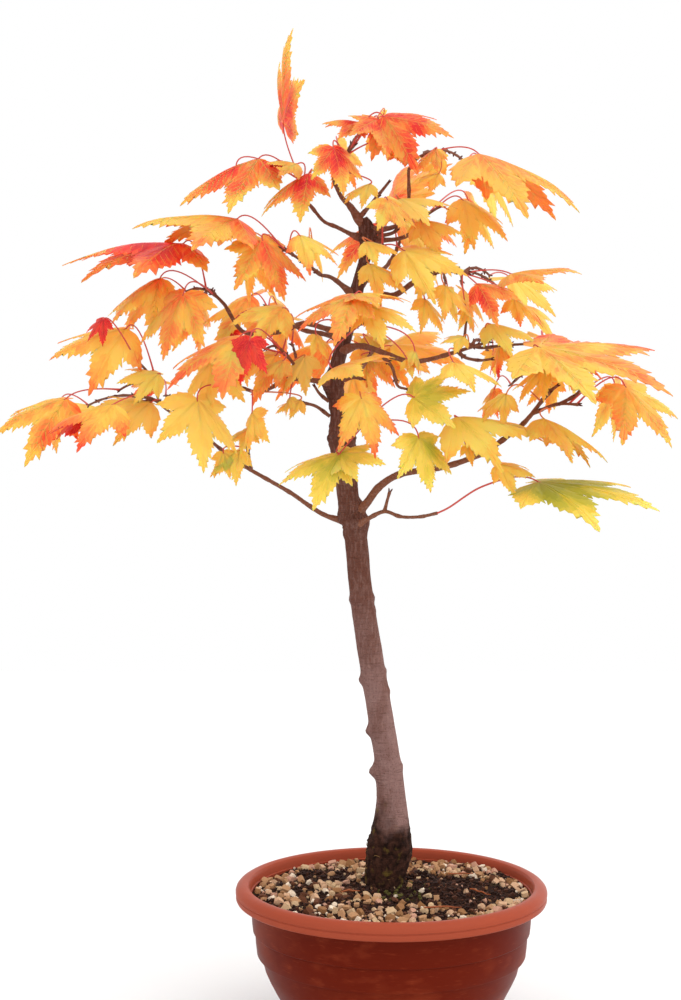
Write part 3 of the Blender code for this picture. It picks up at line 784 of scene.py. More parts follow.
MASSES = (
    Mass("foliage_tip_left", ((-65, 666, -14), (-70, 680, -12), (-74, 690, -8)), (
        Leaf(-86, 732, 68, 83, 6, Turn.EMBER, Pose.EDGE, roll=68),
        Leaf(-106, 703, 75, -145, 10, Turn.EMBER, roll=40),
        Leaf(-75, 699, 26, -176, 22, Turn.AMBER, roll=50, under=True),
        Leaf(-66, 691, 51, -134, 30, Turn.EMBER),
    ), extra=(
        Leaf(-91, 701, 26, -150, 0, Turn.GOLD, roll=40), Leaf(-124, 697, 28, -100, -4, Turn.GOLD),
    ), slender=True),
    Mass("foliage_crown", ((-46, 686, 12), (-41, 700, 16), (-29, 714, 20)), (
        Leaf(-10, 735, 38, -83, 8, Turn.FLAME, Pose.FLAT, lean=50),
        Leaf(-46, 712, 41, -77, 26, Turn.EMBER, Pose.FLAT), Leaf(-17, 683, 27, -143, 8, Turn.OLIVE),
    ), rear=3, extra=(
        Leaf(-6, 737, 58, -22, 14, Turn.FLAME, roll=20), Leaf(-24, 732, 32, -172, 2, Turn.FLAME, roll=50),
        Leaf(4, 712, 26, -30, 10, Turn.AMBER, roll=40),
    )),
    Mass("foliage_top_right", ((14, 694, 1), (22, 704, 4), (35, 709, 8)), (
        Leaf(70, 707, 91, -32, 6, Turn.ORANGE, Pose.THIN, roll=48),
        Leaf(36, 711, 27, -129, 16, Turn.ORANGE),
    ), rear=3, extra=(Leaf(38, 691, 20, -151, 8, Turn.GOLD),)),
    Mass("foliage_upper_right", ((17, 644, -15), (25, 655, -16), (38, 664, -14)), (
        Leaf(57, 670, 49, -42, 0, Turn.GOLD), Leaf(7, 671, 46, -15, 24, Turn.OLIVE, roll=50, under=True),
        Leaf(23, 654, 41, -26, 38, Turn.GOLD, roll=35),
    ), rear=3),
    Mass("foliage_inner_top", ((-20, 624, -3), (-14, 630, 12), (-6, 634, 26)), (
        Leaf(-3, 671, 34, -67, 14, Turn.HONEY, Pose.FLAT), Leaf(-20, 637, 29, -26, 20, Turn.GOLD, roll=35),
        Leaf(10, 630, 55, -22, 6, Turn.GOLD, roll=25), Leaf(-17, 619, 39, -39, 16, Turn.GOLD),
    ), rear=2),
    Mass("foliage_high_right", ((27, 610, 16), (44, 613, 18), (62, 612, 20)), (
        Leaf(96, 611, 54, -3, 0, Turn.AMBER, Pose.LEVEL, roll=30), Leaf(69, 603, 37, -25, 20, Turn.FLAME),
        Leaf(98, 591, 32, -47, 6, Turn.GOLD_RED), Leaf(43, 602, 34, -56, 22, Turn.GOLD),
        Leaf(27, 591, 32, -63, 10, Turn.GOLD),
    ), rear=4, extra=(Leaf(60, 583, 20, -71, 10, Turn.GOLD),)),
    Mass("foliage_high_left", ((-56, 610, 12), (-72, 622, 14), (-88, 632, 16)), (
        Leaf(-123, 655, 81, -170, 0, Turn.ORANGE, roll=62),
        Leaf(-103, 639, 54, -73, 18, Turn.HALF, Pose.FLAT), Leaf(-73, 642, 39, -41, 30, Turn.GOLD_RED),
    ), rear=3),
    Mass("foliage_mid_left", ((-133, 586, -16), (-140, 593, -14), (-149, 599, -10)), (
        Leaf(-166, 635, 93, -165, 0, Turn.SCARLET, Pose.RAISED, roll=58),
        Leaf(-185, 607, 53, -135, 10, Turn.HONEY), Leaf(-166, 595, 57, -108, 26, Turn.ORANGE, Pose.FLAT),
    ), rear=3),
    Mass("foliage_inner_left", ((-70, 526, 15), (-80, 542, 28), (-92, 555, 36)), (
        Leaf(-121, 561, 69, -143, 16, Turn.SALMON, Pose.LEVEL, roll=10),
        Leaf(-113, 559, 38, -104, 28, Turn.CRIMSON, Pose.FLAT),
        Leaf(-86, 584, 44, -164, 6, Turn.AMBER, roll=30), Leaf(-86, 542, 26, -140, 8, Turn.AMBER),
        Leaf(-69, 545, 37, -119, -6, Turn.PALE, under=True),
    ), rear=3, extra=(
        Leaf(-141, 543, 50, -96, 0, Turn.PAINTED_LIGHT_YELLOW, Pose.FLAT, roll=20),
        Leaf(-92, 546, 44, -152, -4, Turn.AMBER, roll=20), Leaf(-81, 512, 15, -100, 0, Turn.PALE),
    )),
    Mass("foliage_knot_left", ((-110, 517, 28), (-120, 520, 30), (-130, 521, 32)), (
        # This viewer-facing leaf in shade is tinted paler than its gold, as painted light.
        Leaf(-155, 511, 60, -84, 22, Turn.PAINTED_LIGHT_YELLOW, Pose.FLAT, lean=25),
        Leaf(-111, 501, 40, -92, 0, Turn.GOLD, roll=40), Leaf(-73, 510, 22, -152, -10, Turn.PALE),
    ), rear=3),
    Mass("foliage_far_left", (
        (-126, 462, -16), (-148, 480, -14), (-170, 496, -8), (-185, 508, 0), (-189, 530, 6),
    ), (
        Leaf(-212, 567, 64, -153, 6, Turn.GOLD_RED), Leaf(-186, 531, 33, -168, 8, Turn.PALE),
        Leaf(-260, 511, 60, -152, 4, Turn.AMBER_FLUSHED),
        Leaf(-222, 507, 55, -154, 16, Turn.GOLD_RED, roll=45),
    ), rear=4, extra=(
        Leaf(-230, 575, 22, -122, 16, Turn.CRIMSON, roll=10),
        Leaf(-248, 493, 24, -158, 24, Turn.CRIMSON, Pose.THIN, roll=50),
        Leaf(-192, 508, 46, -172, 0, Turn.OLIVE, roll=40, under=True),
    )),
    Mass("foliage_low_left", ((-112, 454, -18), (-114, 466, -8), (-117, 478, 2)), (
        Leaf(-121, 470, 32, -135, 12, Turn.OLIVE, roll=30), Leaf(-113, 487, 25, -141, 14, Turn.HONEY),
    ), rear=2, extra=(Leaf(-134, 468, 22, -72, 16, Turn.PALE, Pose.FLAT, roll=10),)),
    Mass("foliage_front_low", ((-39, 480, 2), (-31, 487, 32), (-18, 492, 58)), (
        Leaf(-42, 467, 52, -152, 4, Turn.LIME, roll=35), Leaf(-24, 513, 50, -73, 18, Turn.EDGED, Pose.FLAT),
        Leaf(22, 481, 46, -76, 6, Turn.LIME, Pose.FLAT), Leaf(18, 513, 45, 3, 8, Turn.LIME, Pose.FLAT),
    ), extra=(Leaf(-41, 468, 38, -14, 2, Turn.LIME, Pose.RAISED, roll=30),)),
    Mass("foliage_front_mid", ((-38, 560, -2), (-33, 566, 26), (-22, 572, 50)), (
        Leaf(-29, 595, 55, -145, 24, Turn.SALMON, Pose.RAISED), Leaf(-21, 587, 46, -31, 4, Turn.GOLD),
        Leaf(-47, 536, 49, 8, 14, Turn.AMBER, Pose.LEVEL, roll=35), Leaf(-60, 563, 24, -63, 10, Turn.GOLD),
    ), extra=(
        Leaf(13, 543, 19, -39, 4, Turn.GOLD), Leaf(19, 550, 21, -82, 8, Turn.AMBER, Pose.THIN, roll=10),
        Leaf(-27, 596, 42, -12, 20, Turn.SALMON, Pose.LEVEL, roll=35),
    )),
    Mass("foliage_mid_right", ((53, 549, 22), (66, 553, 25), (79, 557, 28)), (
        Leaf(79, 571, 40, -23, 0, Turn.PALE, roll=45), Leaf(87, 554, 28, -93, 12, Turn.GOLD_RED),
        Leaf(50, 541, 42, -29, 10, Turn.GOLD, roll=55),
    ), rear=3, extra=(Leaf(58, 561, 20, -160, 6, Turn.PALE),)),
    Mass("foliage_inner_right", ((62, 463, 30), (60, 474, 36), (60, 487, 44)), (
        Leaf(53, 497, 70, -17, 12, Turn.OLIVE_RED, roll=50), Leaf(85, 459, 31, -20, 6, Turn.GOLD),
    ), rear=2, extra=(Leaf(60, 475, 19, -34, 4, Turn.GOLD),)),
    Mass("foliage_right", ((120, 509, 44), (126, 519, 45), (124, 535, 44)), (
        Leaf(118, 553, 108, -20, 10, Turn.AMBER_FLUSHED, Pose.SPREAD, roll=52),
        Leaf(123, 537, 36, -128, 22, Turn.GOLD), Leaf(92, 515, 30, -133, 16, Turn.OLIVE, roll=25),
    ), rear=3, extra=(Leaf(134, 549, 42, -36, 15, Turn.FLAME, roll=42),)),
    Mass("foliage_far_right", ((112, 499, 43), (132, 507, 52), (150, 507, 58)), (
        Leaf(187, 522, 60, -57, 8, Turn.AMBER, Pose.FLAT, roll=40),
        Leaf(122, 496, 60, -37, 10, Turn.GOLD, Pose.THIN, roll=50),
    ), rear=2),
    Mass("foliage_low_right", ((37, 420, 45), (47, 425, 48), (68, 439, 52), (88, 447, 55)), (
        Leaf(118, 445, 93, -12, 4, Turn.LIME_RED, Pose.SHELF, roll=50),
    ), slender=True),
    Mass("foliage_back_low", ((-20, 540, -84), (-16, 546, -100), (-14, 548, -118)), (
        Leaf(-20, 560, 48, -20, -14, Turn.AMBER, lean=-25), Leaf(0, 552, 44, 20, -26, Turn.GOLD, lean=-40),
        Leaf(-52, 554, 50, -160, -20, Turn.ORANGE, lean=-30),
        Leaf(-30, 530, 46, -100, -34, Turn.GOLD, lean=-25),
    ), rear=1),
    Mass("foliage_back_left", ((-84, 575, -88), (-92, 580, -102), (-100, 584, -116)), (
        Leaf(-112, 592, 50, -150, -8, Turn.ORANGE, lean=-25),
        Leaf(-92, 586, 46, -60, -24, Turn.AMBER, lean=-35),
        Leaf(-128, 566, 46, -120, -16, Turn.EMBER, lean=-20),
    ), rear=1),
    Mass("foliage_back_high", ((4, 628, -76), (8, 638, -90), (12, 646, -102)), (
        Leaf(14, 660, 46, -30, -12, Turn.AMBER, lean=-25),
        Leaf(-12, 650, 48, -150, -18, Turn.EMBER, lean=-30),
        Leaf(20, 636, 42, -60, -30, Turn.GOLD, lean=-35), Leaf(2, 668, 40, 70, -22, Turn.ORANGE, lean=-40),
    ), rear=1),
)

# Bare side shoots, thin and with buds, as stations (across, height, toward, thickness)
SHOOTS = (
    ((-5, 422, 22, 3), (-3, 430, 24, 2.4), (-1, 437, 25, 2)),
    ((-7, 545, 12, 3), (1, 536, 14, 2.6), (5, 522, 16, 2.2), (12, 519, 18, 2)),
    ((53, 549, 22, 3), (58, 557, 23, 2.6), (60, 572, 24, 2)),
    ((53, 549, 22, 3), (60, 544, 24, 2.6), (71, 542, 26, 2.2), (80, 543, 27, 2)),
    ((58, 557, 23, 2.6), (71, 552, 24, 2.4), (90, 554, 26, 2.2), (107, 555, 28, 2)),
    ((120, 509, 44, 3.4), (128, 518, 45, 2.8), (133, 522, 46, 2.2)),
    ((134, 507, 52, 3), (147, 514, 50, 2.6), (153, 521, 49, 2)),
    ((-50, 509, 4, 3), (-57, 515, 8, 2.6), (-61, 521, 10, 2)),
    ((-49, 497, 4, 3), (-60, 505, 8, 2.6), (-71, 508, 12, 2)),
    ((-38, 526, 4, 3.4), (-30, 528, 8, 2.8), (-23, 527, 12, 2.2)),
    ((-26, 655, 3, 4), (-14, 669, 6, 3), (-2, 684, 8, 2.2)),
    ((-10, 641, 1, 3.4), (2, 644, 5, 2.8), (9, 652, 8, 2.2)),
)


# --- the bowl and what fills it


@dataclass(frozen=True)
class Bowl:
    """The round plastic bowl: a rolled rim over a stepped body, as (radius, depth below the rim)."""

    height: float = 125.0
    steps: int = 144
    rim: tuple[Pair, ...] = (
        (110.6, 16.0), (111.4, 9.0), (111.2, 8.4), (112.0, 7.8), (112.6, 3.6), (113.2, 1.9), (114.2, 0.7),
        (116.0, 0.1), (118.0, 0.0), (120.2, 0.5), (122.0, 1.6), (123.4, 3.2), (124.0, 5.0), (124.0, 6.6),
        (123.3, 7.2), (123.2, 7.7), (123.7, 8.3), (123.8, 10.6), (123.2, 12.0), (122.0, 12.9), (116.0, 13.2),
        (112.6, 13.5), (112.0, 15.0),
    )
    body: tuple[Pair, ...] = (
        (111.6, 20.0), (111.0, 30.0), (110.3, 36.2), (109.8, 36.8), (108.5, 37.2), (108.5, 38.0),
        (108.0, 46.0), (107.0, 54.6), (106.4, 55.6), (103.6, 56.2), (103.2, 57.2), (100.4, 68.0),
        (97.2, 75.0), (92.0, 85.0), (86.2, 94.0), (80.0, 103.0), (72.0, 114.0), (68.5, 120.0),
        (67.0, 124.0), (66.0, 125.0),
    )
    inside: tuple[Pair, ...] = (
        (0.0, 118.0), (60.0, 118.0), (66.0, 114.0), (82.0, 94.0), (99.0, 58.0), (108.4, 22.0),
    )

    def build(self) -> None:
        """Turn the profile and dress it."""
        profile = (*self.inside, *self.rim, *self.body, (0.0, self.height))
        bm = bmesh.new()
        verts = [bm.verts.new((radius * MM, 0, (self.height - depth) * MM)) for radius, depth in profile]
        for start, end in zip(verts, verts[1:], strict=False):
            bm.edges.new((start, end))
        line, axis = bm.verts[:] + bm.edges[:], (0, 0, 1)
        bmesh.ops.spin(
            bm, geom=line, cent=(0, 0, 0), axis=axis, angle=math.tau, steps=self.steps, use_merge=True
        )
        bmesh.ops.remove_doubles(bm, verts=bm.verts[:], dist=0.02 * MM)
        bmesh.ops.recalc_face_normals(bm, faces=bm.faces[:])
        show(bm, "bowl_shell", [BowlFinish().material()], ("bowl",), crease=28)


@dataclass(frozen=True)
class Oval:
    """An oval patch of the soil: its middle and half widths, across and back, and how much it swells."""

    across: float
    back: float
    half_across: float
    half_back: float
    swell: float = 0.0

    def reach(self, x: float, y: float) -> float:
        """How far out in the oval a place in metres is, squared: 0 in the middle and 1 at the edge."""
        return ((x / MM - self.across) / self.half_across) ** 2 + ((y / MM - self.back) / self.half_back) ** 2


def ground_noise(x: float, y: float, scale: float, layer: float) -> float:
    """Noise at a place on the ground in metres, with so many features a metre."""
    return noise.noise(Vector((x * scale, y * scale, layer)))


@dataclass
class Topsoil:
    """The soil's surface: dark soil under loose pumice gravel, bare and mossy to the right of the trunk."""

    edge: float = 115.0
    rise: float = 2.8
    mound: float = 46.0
    radius: float = 111.2
    bottom: float = 100.0
    narrowing: float = 0.97
    sides: int = 120
    rings: int = 44
    swells: tuple[Oval, ...] = (Oval(34, 2, 34, 17, 4.5), Oval(66, 66, 40, 26, 3.0))
    bare: tuple[Oval, ...] = (Oval(44, -8, 54, 42), Oval(-54, 50, 24, 30))
    trunk_middle: Pair = (-5.0, 15.0)
    foot: float = 30.0
    chip_shapes: int = 14
    grains: int = 2000
    smallest: float = 1.2
    largest: float = 3.9
    crowding: float = 0.92
    pumice: tuple[tuple[str, Triple, int], ...] = (
        ("tan", (180, 136, 98), 6), ("peach", (208, 168, 134), 5), ("buff", (204, 172, 134), 5),
        ("pink", (198, 150, 126), 3), ("white", (234, 214, 190), 3), ("brown", (100, 60, 40), 4),
        ("ochre", (152, 108, 70), 4),
    )
    needles: tuple[Station, ...] = (
        (23, -62, 12, 30), (62, -12, -30, 18), (8, 30, 60, 16), (48, 34, 15, 22), (-40, -20, 20, 16),
    )
    needle_radii: tuple[float, ...] = (0.5, 0.8, 0.7, 0.7, 0.5, 0.3)
    fibres: int = 46
    fibre_top: float = 36.0
    crumbs: int = 2200
    dice: Random = field(default_factory=lambda: Random(5))

    def level(self, x: float, y: float) -> float:
        """The height of the soil.

        Args:
            x: The place across, in metres.
            y: The place back, in metres.

        Returns:
            The height in metres.
        """
        share = within((self.radius - math.hypot(x, y) / MM) / (self.radius - self.mound))
        rough = ground_noise(x, y, 60, 3.0) * 1.8 + ground_noise(x, y, 260, 7.0) * 1.3
        height = self.edge + self.rise * share + rough
        for oval in self.swells:
            height += oval.swell * math.exp(-oval.reach(x, y))
        return height * MM

    def bareness(self, x: float, y: float) -> float:
        """How likely a place is to be bare of gravel.

        Args:
            x: The place across, in metres.
            y: The place back, in metres.

        Returns:
            The likelihood, from 0 to 1.
        """
        wobble = ground_noise(x, y, 45, 11.0) * 0.5
        patch = min(oval.reach(x, y) + wobble for oval in self.bare)
        foot = math.hypot(x / MM - self.trunk_middle[0], y / MM - self.trunk_middle[1]) / self.foot + wobble
        if min(patch, foot) < 1.0:
            return 0.985
        hollows = ground_noise(x, y, 34, 23.0) + 0.6 * ground_noise(x, y, 80, 5.0)
        return within(0.36 + 2.4 * hollows, 0.0, 0.97)

    def build(self) -> None:
        """Lay the soil, then scatter the gravel and the litter on it."""
        bm = bmesh.new()
        for vert, column, _ in gridded(bm, self.sides, self.rings):
            turn = math.tau * (column % self.sides) / self.sides
            reach = self.radius * MM * (vert.co.y + 1) / 2
            x, y = math.cos(turn) * reach, math.sin(turn) * reach
            vert.co = (x, y, self.level(x, y))
        bmesh.ops.remove_doubles(bm, verts=bm.verts[:], dist=MERGE)
        rim = [edge for edge in bm.edges if edge.is_boundary]
        for item in bmesh.ops.extrude_edge_only(bm, edges=rim)["geom"]:
            if isinstance(item, BMVert):
                item.co.x *= self.narrowing
                item.co.y *= self.narrowing
                item.co.z = self.bottom * MM
        close(bm)
        show(bm, "soil_bed", [SoilFinish().material()], ("soil",), crease=80)
        self.gravel()
        self.litter()

    def chips(self) -> list[Mesh]:
        """Shape the chips that the gravel is dealt from, each of a few faces.

        Returns:
            The chips.
        """
        made = []
        for number in range(self.chip_shapes):
            bm = bmesh.new()
            bmesh.ops.create_cube(bm, size=2.0)
            bmesh.ops.subdivide_edges(bm, edges=bm.edges[:], cuts=1, use_grid_fill=True)
            for vert in bm.verts:
                ball = vert.co.normalized()
                lump = 1 + 0.6 * noise.noise(ball * 1.5 + Vector((number * 7.0, 0, 0)))
                vert.co = vert.co.lerp(ball * 1.25, 0.5) * lump * 0.78
            made.append(to_mesh(bm, "chip"))
        return made

    def spots(self) -> Iterator[Triple]:
        """Find places for the grains, largest first, none crowding another.

        Returns:
            Each grain's place across and back and its radius, in millimetres.
        """
        taken: list[Triple] = []
        for number in range(self.grains * 5):
            share = min(1.0, number / (self.grains * 3))
            size = self.largest + (self.smallest - self.largest) * share**0.6
            size *= self.dice.uniform(0.85, 1.15)
            reach = (self.radius - size) * math.sqrt(self.dice.random())
            turn = self.dice.uniform(0, math.tau)
            x, y = math.cos(turn) * reach, math.sin(turn) * reach
            if self.bareness(x * MM, y * MM) > self.dice.random():
                continue
            if all((x - a) ** 2 + (y - b) ** 2 > (self.crowding * (size + c)) ** 2 for a, b, c in taken):
                taken.append((x, y, size))
                yield x, y, size

    def gravel(self) -> None:
        """Scatter the gravel as one joined piece."""
        finishes, weights = [], []
        for name, color, weight in self.pumice:
            finishes.append(PlainFinish(f"pumice_{name}", linear(*color), 0.85, 700.0, 0.0006).material())
            weights.append(weight)
        chips = self.chips()
        heap = Gathering()
        for x, y, size in self.spots():
            axle = Vector([self.dice.gauss(0, 1) for _ in range(3)]).normalized()
            turn = Quaternion(axle, self.dice.uniform(0, math.tau)).to_matrix().to_4x4()
            scale = Matrix.Diagonal((*[size * MM * self.dice.uniform(0.62, 1.25) for _ in range(3)], 1.0))
            rest = Vector((x * MM, y * MM, self.level(x * MM, y * MM) + size * 0.25 * MM))
            chip = self.dice.choice(chips).copy()
            chip.transform(Matrix.Translation(rest) @ turn @ scale)
            index = self.dice.choices(range(len(finishes)), weights)[0]
            chip.polygons.foreach_set("material_index", [index] * len(chip.polygons))
            heap.add_mesh(chip)
        for chip in chips:
            bpy.data.meshes.remove(chip)
        show(heap.bm, "gravel", finishes, crease=24)

    def litter(self) -> None:
        """Drop needles, root fibres round the foot, and crumbs of soil and moss, as one joined piece."""
        earthy = (0.95, 700.0, 0.0004)
        finishes = (
            PlainFinish("needle", linear(158, 84, 46), 0.5),
            PlainFinish("fibre", linear(150, 116, 70), 0.8),
            PlainFinish("moss", linear(84, 78, 34), *earthy),
            PlainFinish("crumb", linear(46, 25, 18), *earthy),
            PlainFinish("crumb_dry", linear(84, 50, 36), *earthy),
        )
        heap = Gathering()
        for needle in self.needles:
            heap.add(self.needle(*needle), 0)
        for _ in range(self.fibres):
            heap.add(self.fibre(), 1)
        for _ in range(self.crumbs):
            reach = self.radius * 0.97 * math.sqrt(self.dice.random())
            turn = self.dice.uniform(0, math.tau)
            x, y = math.cos(turn) * reach, math.sin(turn) * reach
            if self.bareness(x * MM, y * MM) < 0.3:
                continue
            bm = bmesh.new()
            bmesh.ops.create_cube(bm, size=self.dice.uniform(0.9, 3.0) * MM)
            tumble = Matrix.Rotation(turn * 7, 3, Vector((1, reach, 3)).normalized())
            bmesh.ops.rotate(bm, verts=bm.verts[:], matrix=tumble)
            rest = (x * MM, y * MM, self.level(x * MM, y * MM) + 0.4 * MM)
            bmesh.ops.translate(bm, verts=bm.verts[:], vec=rest)
            mossy = math.hypot(x - 10, y + 14) < 24
            heap.add(bm, self.dice.choice((2, 3, 3)) if mossy else self.dice.choice((3, 3, 4)))
        show(heap.bm, "litter", [finish.material() for finish in finishes])

    def needle(self, x: float, y: float, angle: float, length: float) -> BMesh:
        """A fallen needle that lies on the gravel.

        Args:
            x: Where it starts across, in millimetres.
            y: Where it starts back, in millimetres.
            angle: Where it points, in degrees.
            length: Its length in millimetres.

        Returns:
            Its bmesh.
        """
        way = Vector((math.cos(math.radians(angle)), math.sin(math.radians(angle)), 0)) * length * MM
        path = [Vector((x, y, 0)) * MM + way * step / 5 for step in range(6)]
        for step, point in enumerate(path):
            point.z = self.level(point.x, point.y) + (4.2 + math.sin(step) * 0.5) * MM
        return tube(path, [radius * MM for radius in self.needle_radii], 5)

    def fibre(self) -> BMesh:
        """A root fibre that lies round the trunk's foot.

        Returns:
            Its bmesh.
        """
        turn = self.dice.uniform(0, math.tau)
        lift = self.dice.uniform(0, self.fibre_top)
        girth = (14.8 + 0.06 * lift + self.dice.uniform(0, 0.8)) * MM
        middle = Vector((-5 + 0.1 * lift, 15, 117 + lift)) * MM
        swing = self.dice.uniform(-0.5, 0.5)
        path = []
        for step in range(5):
            facing = turn + swing * step / 4
            out = Vector((math.cos(facing), math.sin(facing), 0)) * (girth + math.sin(step) * MM)
            path.append(middle + out + Vector((0, 0, self.dice.uniform(-1, 1) * MM)))
        return tube(path, [0.22 * MM] * 5, 3)


# --- bark


def bump_at(distance: float) -> float:
    """The height of a round bump of height 1 at a distance from its middle, in bump widths."""
    return math.exp(-(distance**2))


@dataclass(frozen=True)
class Knob:
    """A healed bud or shoot on the trunk: its height, where it faces, how far it stands out and its width."""

    height: float
    facing: float
    size: float
    width: float


@dataclass(frozen=True)
class Trunk:
    """The trunk with its bark: fissures, ring marks, swollen scars, healed knobs and a crusted foot."""

    spacing: float = 2.0
    sides: int = 56
    knobs: tuple[Knob, ...] = tuple(
        Knob(*row) for row in (
            (213, 180, 5.6, 5.2), (246, 185, 4.2, 4.4), (287, 178, 3.2, 4.0), (291, 5, 1.6, 3.0),
            (275, -8, 1.6, 3.0), (214, 0, 1.4, 3.0), (300, 300, 2.0, 4.0), (372, 250, 2.0, 4.0),
            (340, 40, 2.4, 4.2), (419, 195, 3.6, 5.0), (412, 290, 1.8, 4.0), (424, 8, 3.4, 5.0),
            (411, 350, 3.0, 4.4), (478, 190, 1.0, 6.0), (482, 20, 1.0, 5.5), (474, 275, 1.4, 4.0),
            (521, 230, 2.6, 4.2), (526, 165, 3.0, 4.0), (518, 100, 2.4, 4.0), (596, 170, 1.6, 3.6),
            (640, 215, 1.8, 4.0), (643, 320, 1.8, 4.0),
        )
    )
    scars: tuple[Triple, ...] = ((351, 1.3, 3.0), (404, 0.9, 2.5), (456, 0.9, 2.2), (505, 0.8, 2.0))
    burls: tuple[Pair, ...] = ((415, 9.0), (479, 12.0), (523, 9.0), (642, 10.0))
    burl_size: float = 2.2
    crust_top: float = 176.0
    crust_fade: float = 22.0

    def relief(self, point: Vector, outward: Vector, turn: float) -> float:
        """What the bark adds to the trunk's radius.

        Args:
            point: The place on the trunk's middle line.
            outward: The way out from it.
            turn: The angle round it.

        Returns:
            The addition in metres.
        """
        height = point.z / MM
        around = Vector((math.cos(turn), math.sin(turn), 0))

        def marks(wide: float, tall: float, start: float = 0.0) -> float:
            """Noise with so many features round the trunk and a millimetre up it."""
            return noise.noise(Vector((around.x * wide, around.y * wide, height * tall + start)))

        lumps, rough = marks(1.2, 0.05, 9), marks(7, 0.4)
        total = 0.35 * marks(4, 0.035) + 0.5 * lumps + 0.16 * marks(1.5, 0.9, 31)
        total += within((self.crust_top - height) / self.crust_fade) * (1.5 * rough + 1.2 * lumps)
        for place, reach in self.burls:
            total += self.burl_size * rough * bump_at((height - place) / reach)
        for knob in self.knobs:
            if abs(height - knob.height) < knob.width * 2.5:
                facing = math.radians(knob.facing)
                toward = outward.x * math.cos(facing) + outward.y * math.sin(facing)
                apart = math.acos(within(toward, -1.0))
                near = ((height - knob.height) / knob.width) ** 2 + (apart * 10 / knob.width) ** 2
                total += knob.size * math.exp(-near * 1.1)
        for place, depth, width in self.scars:
            total += depth * bump_at((height - place + 2 * lumps) / width)
        return total * MM

    def build(self, bark: Material) -> None:
        """Raise the trunk in its bark."""
        trunk = tube(*smooth_path(TRUNK.stations, self.spacing), self.sides, self.relief)
        show(trunk, "trunk_bark", [bark], (TRUNK.name,), crease=70)


@dataclass(frozen=True)
class Boughs:
    """The boughs with their bark: a collar at the foot, a swelling at each node, and fine ring marks."""

    spacing: float = 1.6
    sides: int = 18
    node_spacing: float = 21.0
    node_shift: float = 0.37
    slimness: float = 0.7

    def build(self, bark: Material) -> None:
        """Grow every bough as its own piece.

        Args:
            bark: The young bark.
        """
        for number, limb in enumerate(BOUGHS):
            path, radii = smooth_path(limb.stations, self.spacing)
            radii = [radius * self.slimness for radius in radii]
            bm = tube(path, radii, self.sides, partial(self.relief, path[0], number))
            show(bm, limb.name.replace("bough", "bark"), [bark], (limb.name,), crease=70)

    def relief(self, start: Vector, seed: int, point: Vector, outward: Vector, turn: float) -> float:
        """What the bark adds to a bough's radius.

        Args:
            start: Where the bough starts.
            seed: The bough's number, which shifts its nodes and marks.
            point: The place on its middle line.
            outward: The way out from it.
            turn: The angle round it.

        Returns:
            The addition in metres.
        """
        along = (point - start).length / MM
        near = (along / self.node_spacing + self.node_shift * seed) % 1.0
        swelling = 0.32 * bump_at((near - 0.5) * 9) + 1.3 * bump_at((along - 6) / 6)
        fine = 0.22 * noise.noise(Vector((outward.x * 2, outward.z * 2, along * 0.5 + seed * 5)))
        return (swelling + fine) * MM


# --- leaves


@dataclass(frozen=True)
class LobePlan:
    """A lobe of the blade: its direction in degrees, its reach, and how many points each flank has."""

    angle: float
    reach: float
    points: int


@dataclass(frozen=True)
class Outline:
    """How all lobes are cut, in spans: their taper and waist, their teeth, and their veins' width."""

    taper: float = 0.84
    bulge: float = 0.72
    sweep: float = 1.3
    vein: float = 0.0075
    teeth: tuple[float, ...] = (-0.018, 0.006, -0.008, 0.034, -0.018, 0.014, -0.006, 0.026)
    unevenness: float = 0.35

    def tooth(self, lobe: LobePlan, point: int) -> float:
        """How far a point of a flank stands out: uneven forward-pointing teeth."""
        share = 1 + self.unevenness * math.sin(point * 2.3 + lobe.angle)
        return self.teeth[point % len(self.teeth)] * share

    def lean(self, along: float) -> float:
        """How strongly a line that ends so far along its flank sweeps outward, as a power of its share."""
        return 1 + self.sweep * min(1.0, 2 * along)


@dataclass(frozen=True)
class Flank:
    """One side of a lobe, from the notch beside it to its tip."""

    lobe: LobePlan
    notch: Pair
    side: int
    outline: Outline

    def start(self) -> float:
        """How far along the lobe its notch is, in spans."""
        return self.notch[1] * math.cos(math.radians(self.notch[0] - self.lobe.angle))

    def width(self, along: float) -> float:
        """Half the lobe's width.

        Args:
            along: The place along the lobe, in spans.

        Returns:
            The half width in spans.
        """
        apart = abs(math.radians(self.notch[0] - self.lobe.angle))
        start = self.start()
        if along <= start:
            return along * math.tan(apart)
        share = min(1.0, (along - start) / (self.lobe.reach - start))
        full = self.notch[1] * math.sin(apart)
        waist = 1 + self.outline.bulge * math.sin(math.pi * share)
        return full * (1 - share) ** self.outline.taper * waist

    def turned(self, along: float, across: float) -> Pair:
        """Turn a place on the lobe into one on the blade.

        Args:
            along: How far along the lobe it is, in spans.
            across: How far to this side of its midrib it is, in spans.

        Returns:
            The blade's (x, y).
        """
        turn = math.radians(self.lobe.angle)
        across *= self.side
        x = along * math.cos(turn) - across * math.sin(turn)
        return x, along * math.sin(turn) + across * math.cos(turn)


@dataclass(frozen=True)
class Column:
    """One line of the blade from its hub to its edge: its flank, how far along it ends, and its tooth."""

    flank: Flank
    along: float
    tooth: float = 0.0
    vein: bool = False
    middle: bool = False

    def place(self, share: float) -> Pair:
        """Where the line is.

        Args:
            share: The share of its length.

        Returns:
            The blade's (x, y), in spans.
        """
        start, reach, outline = self.flank.start(), self.flank.lobe.reach, self.flank.outline
        along = start + (reach - start) * self.along
        across = self.flank.width(along)
        if 0 < self.along < 1:
            tooth = self.tooth * reach * min(1.0, 5 * (1 - self.along))
            across += tooth
            along += tooth
        vein = outline.vein * (1.25 - share) * min(1.0, share * 8)
        across = across * share ** outline.lean(self.along)
        across += vein * (1.0 if self.vein else min(1.0, 3 * self.along))
        return self.flank.turned(along * share, 0.0 if self.middle else across)


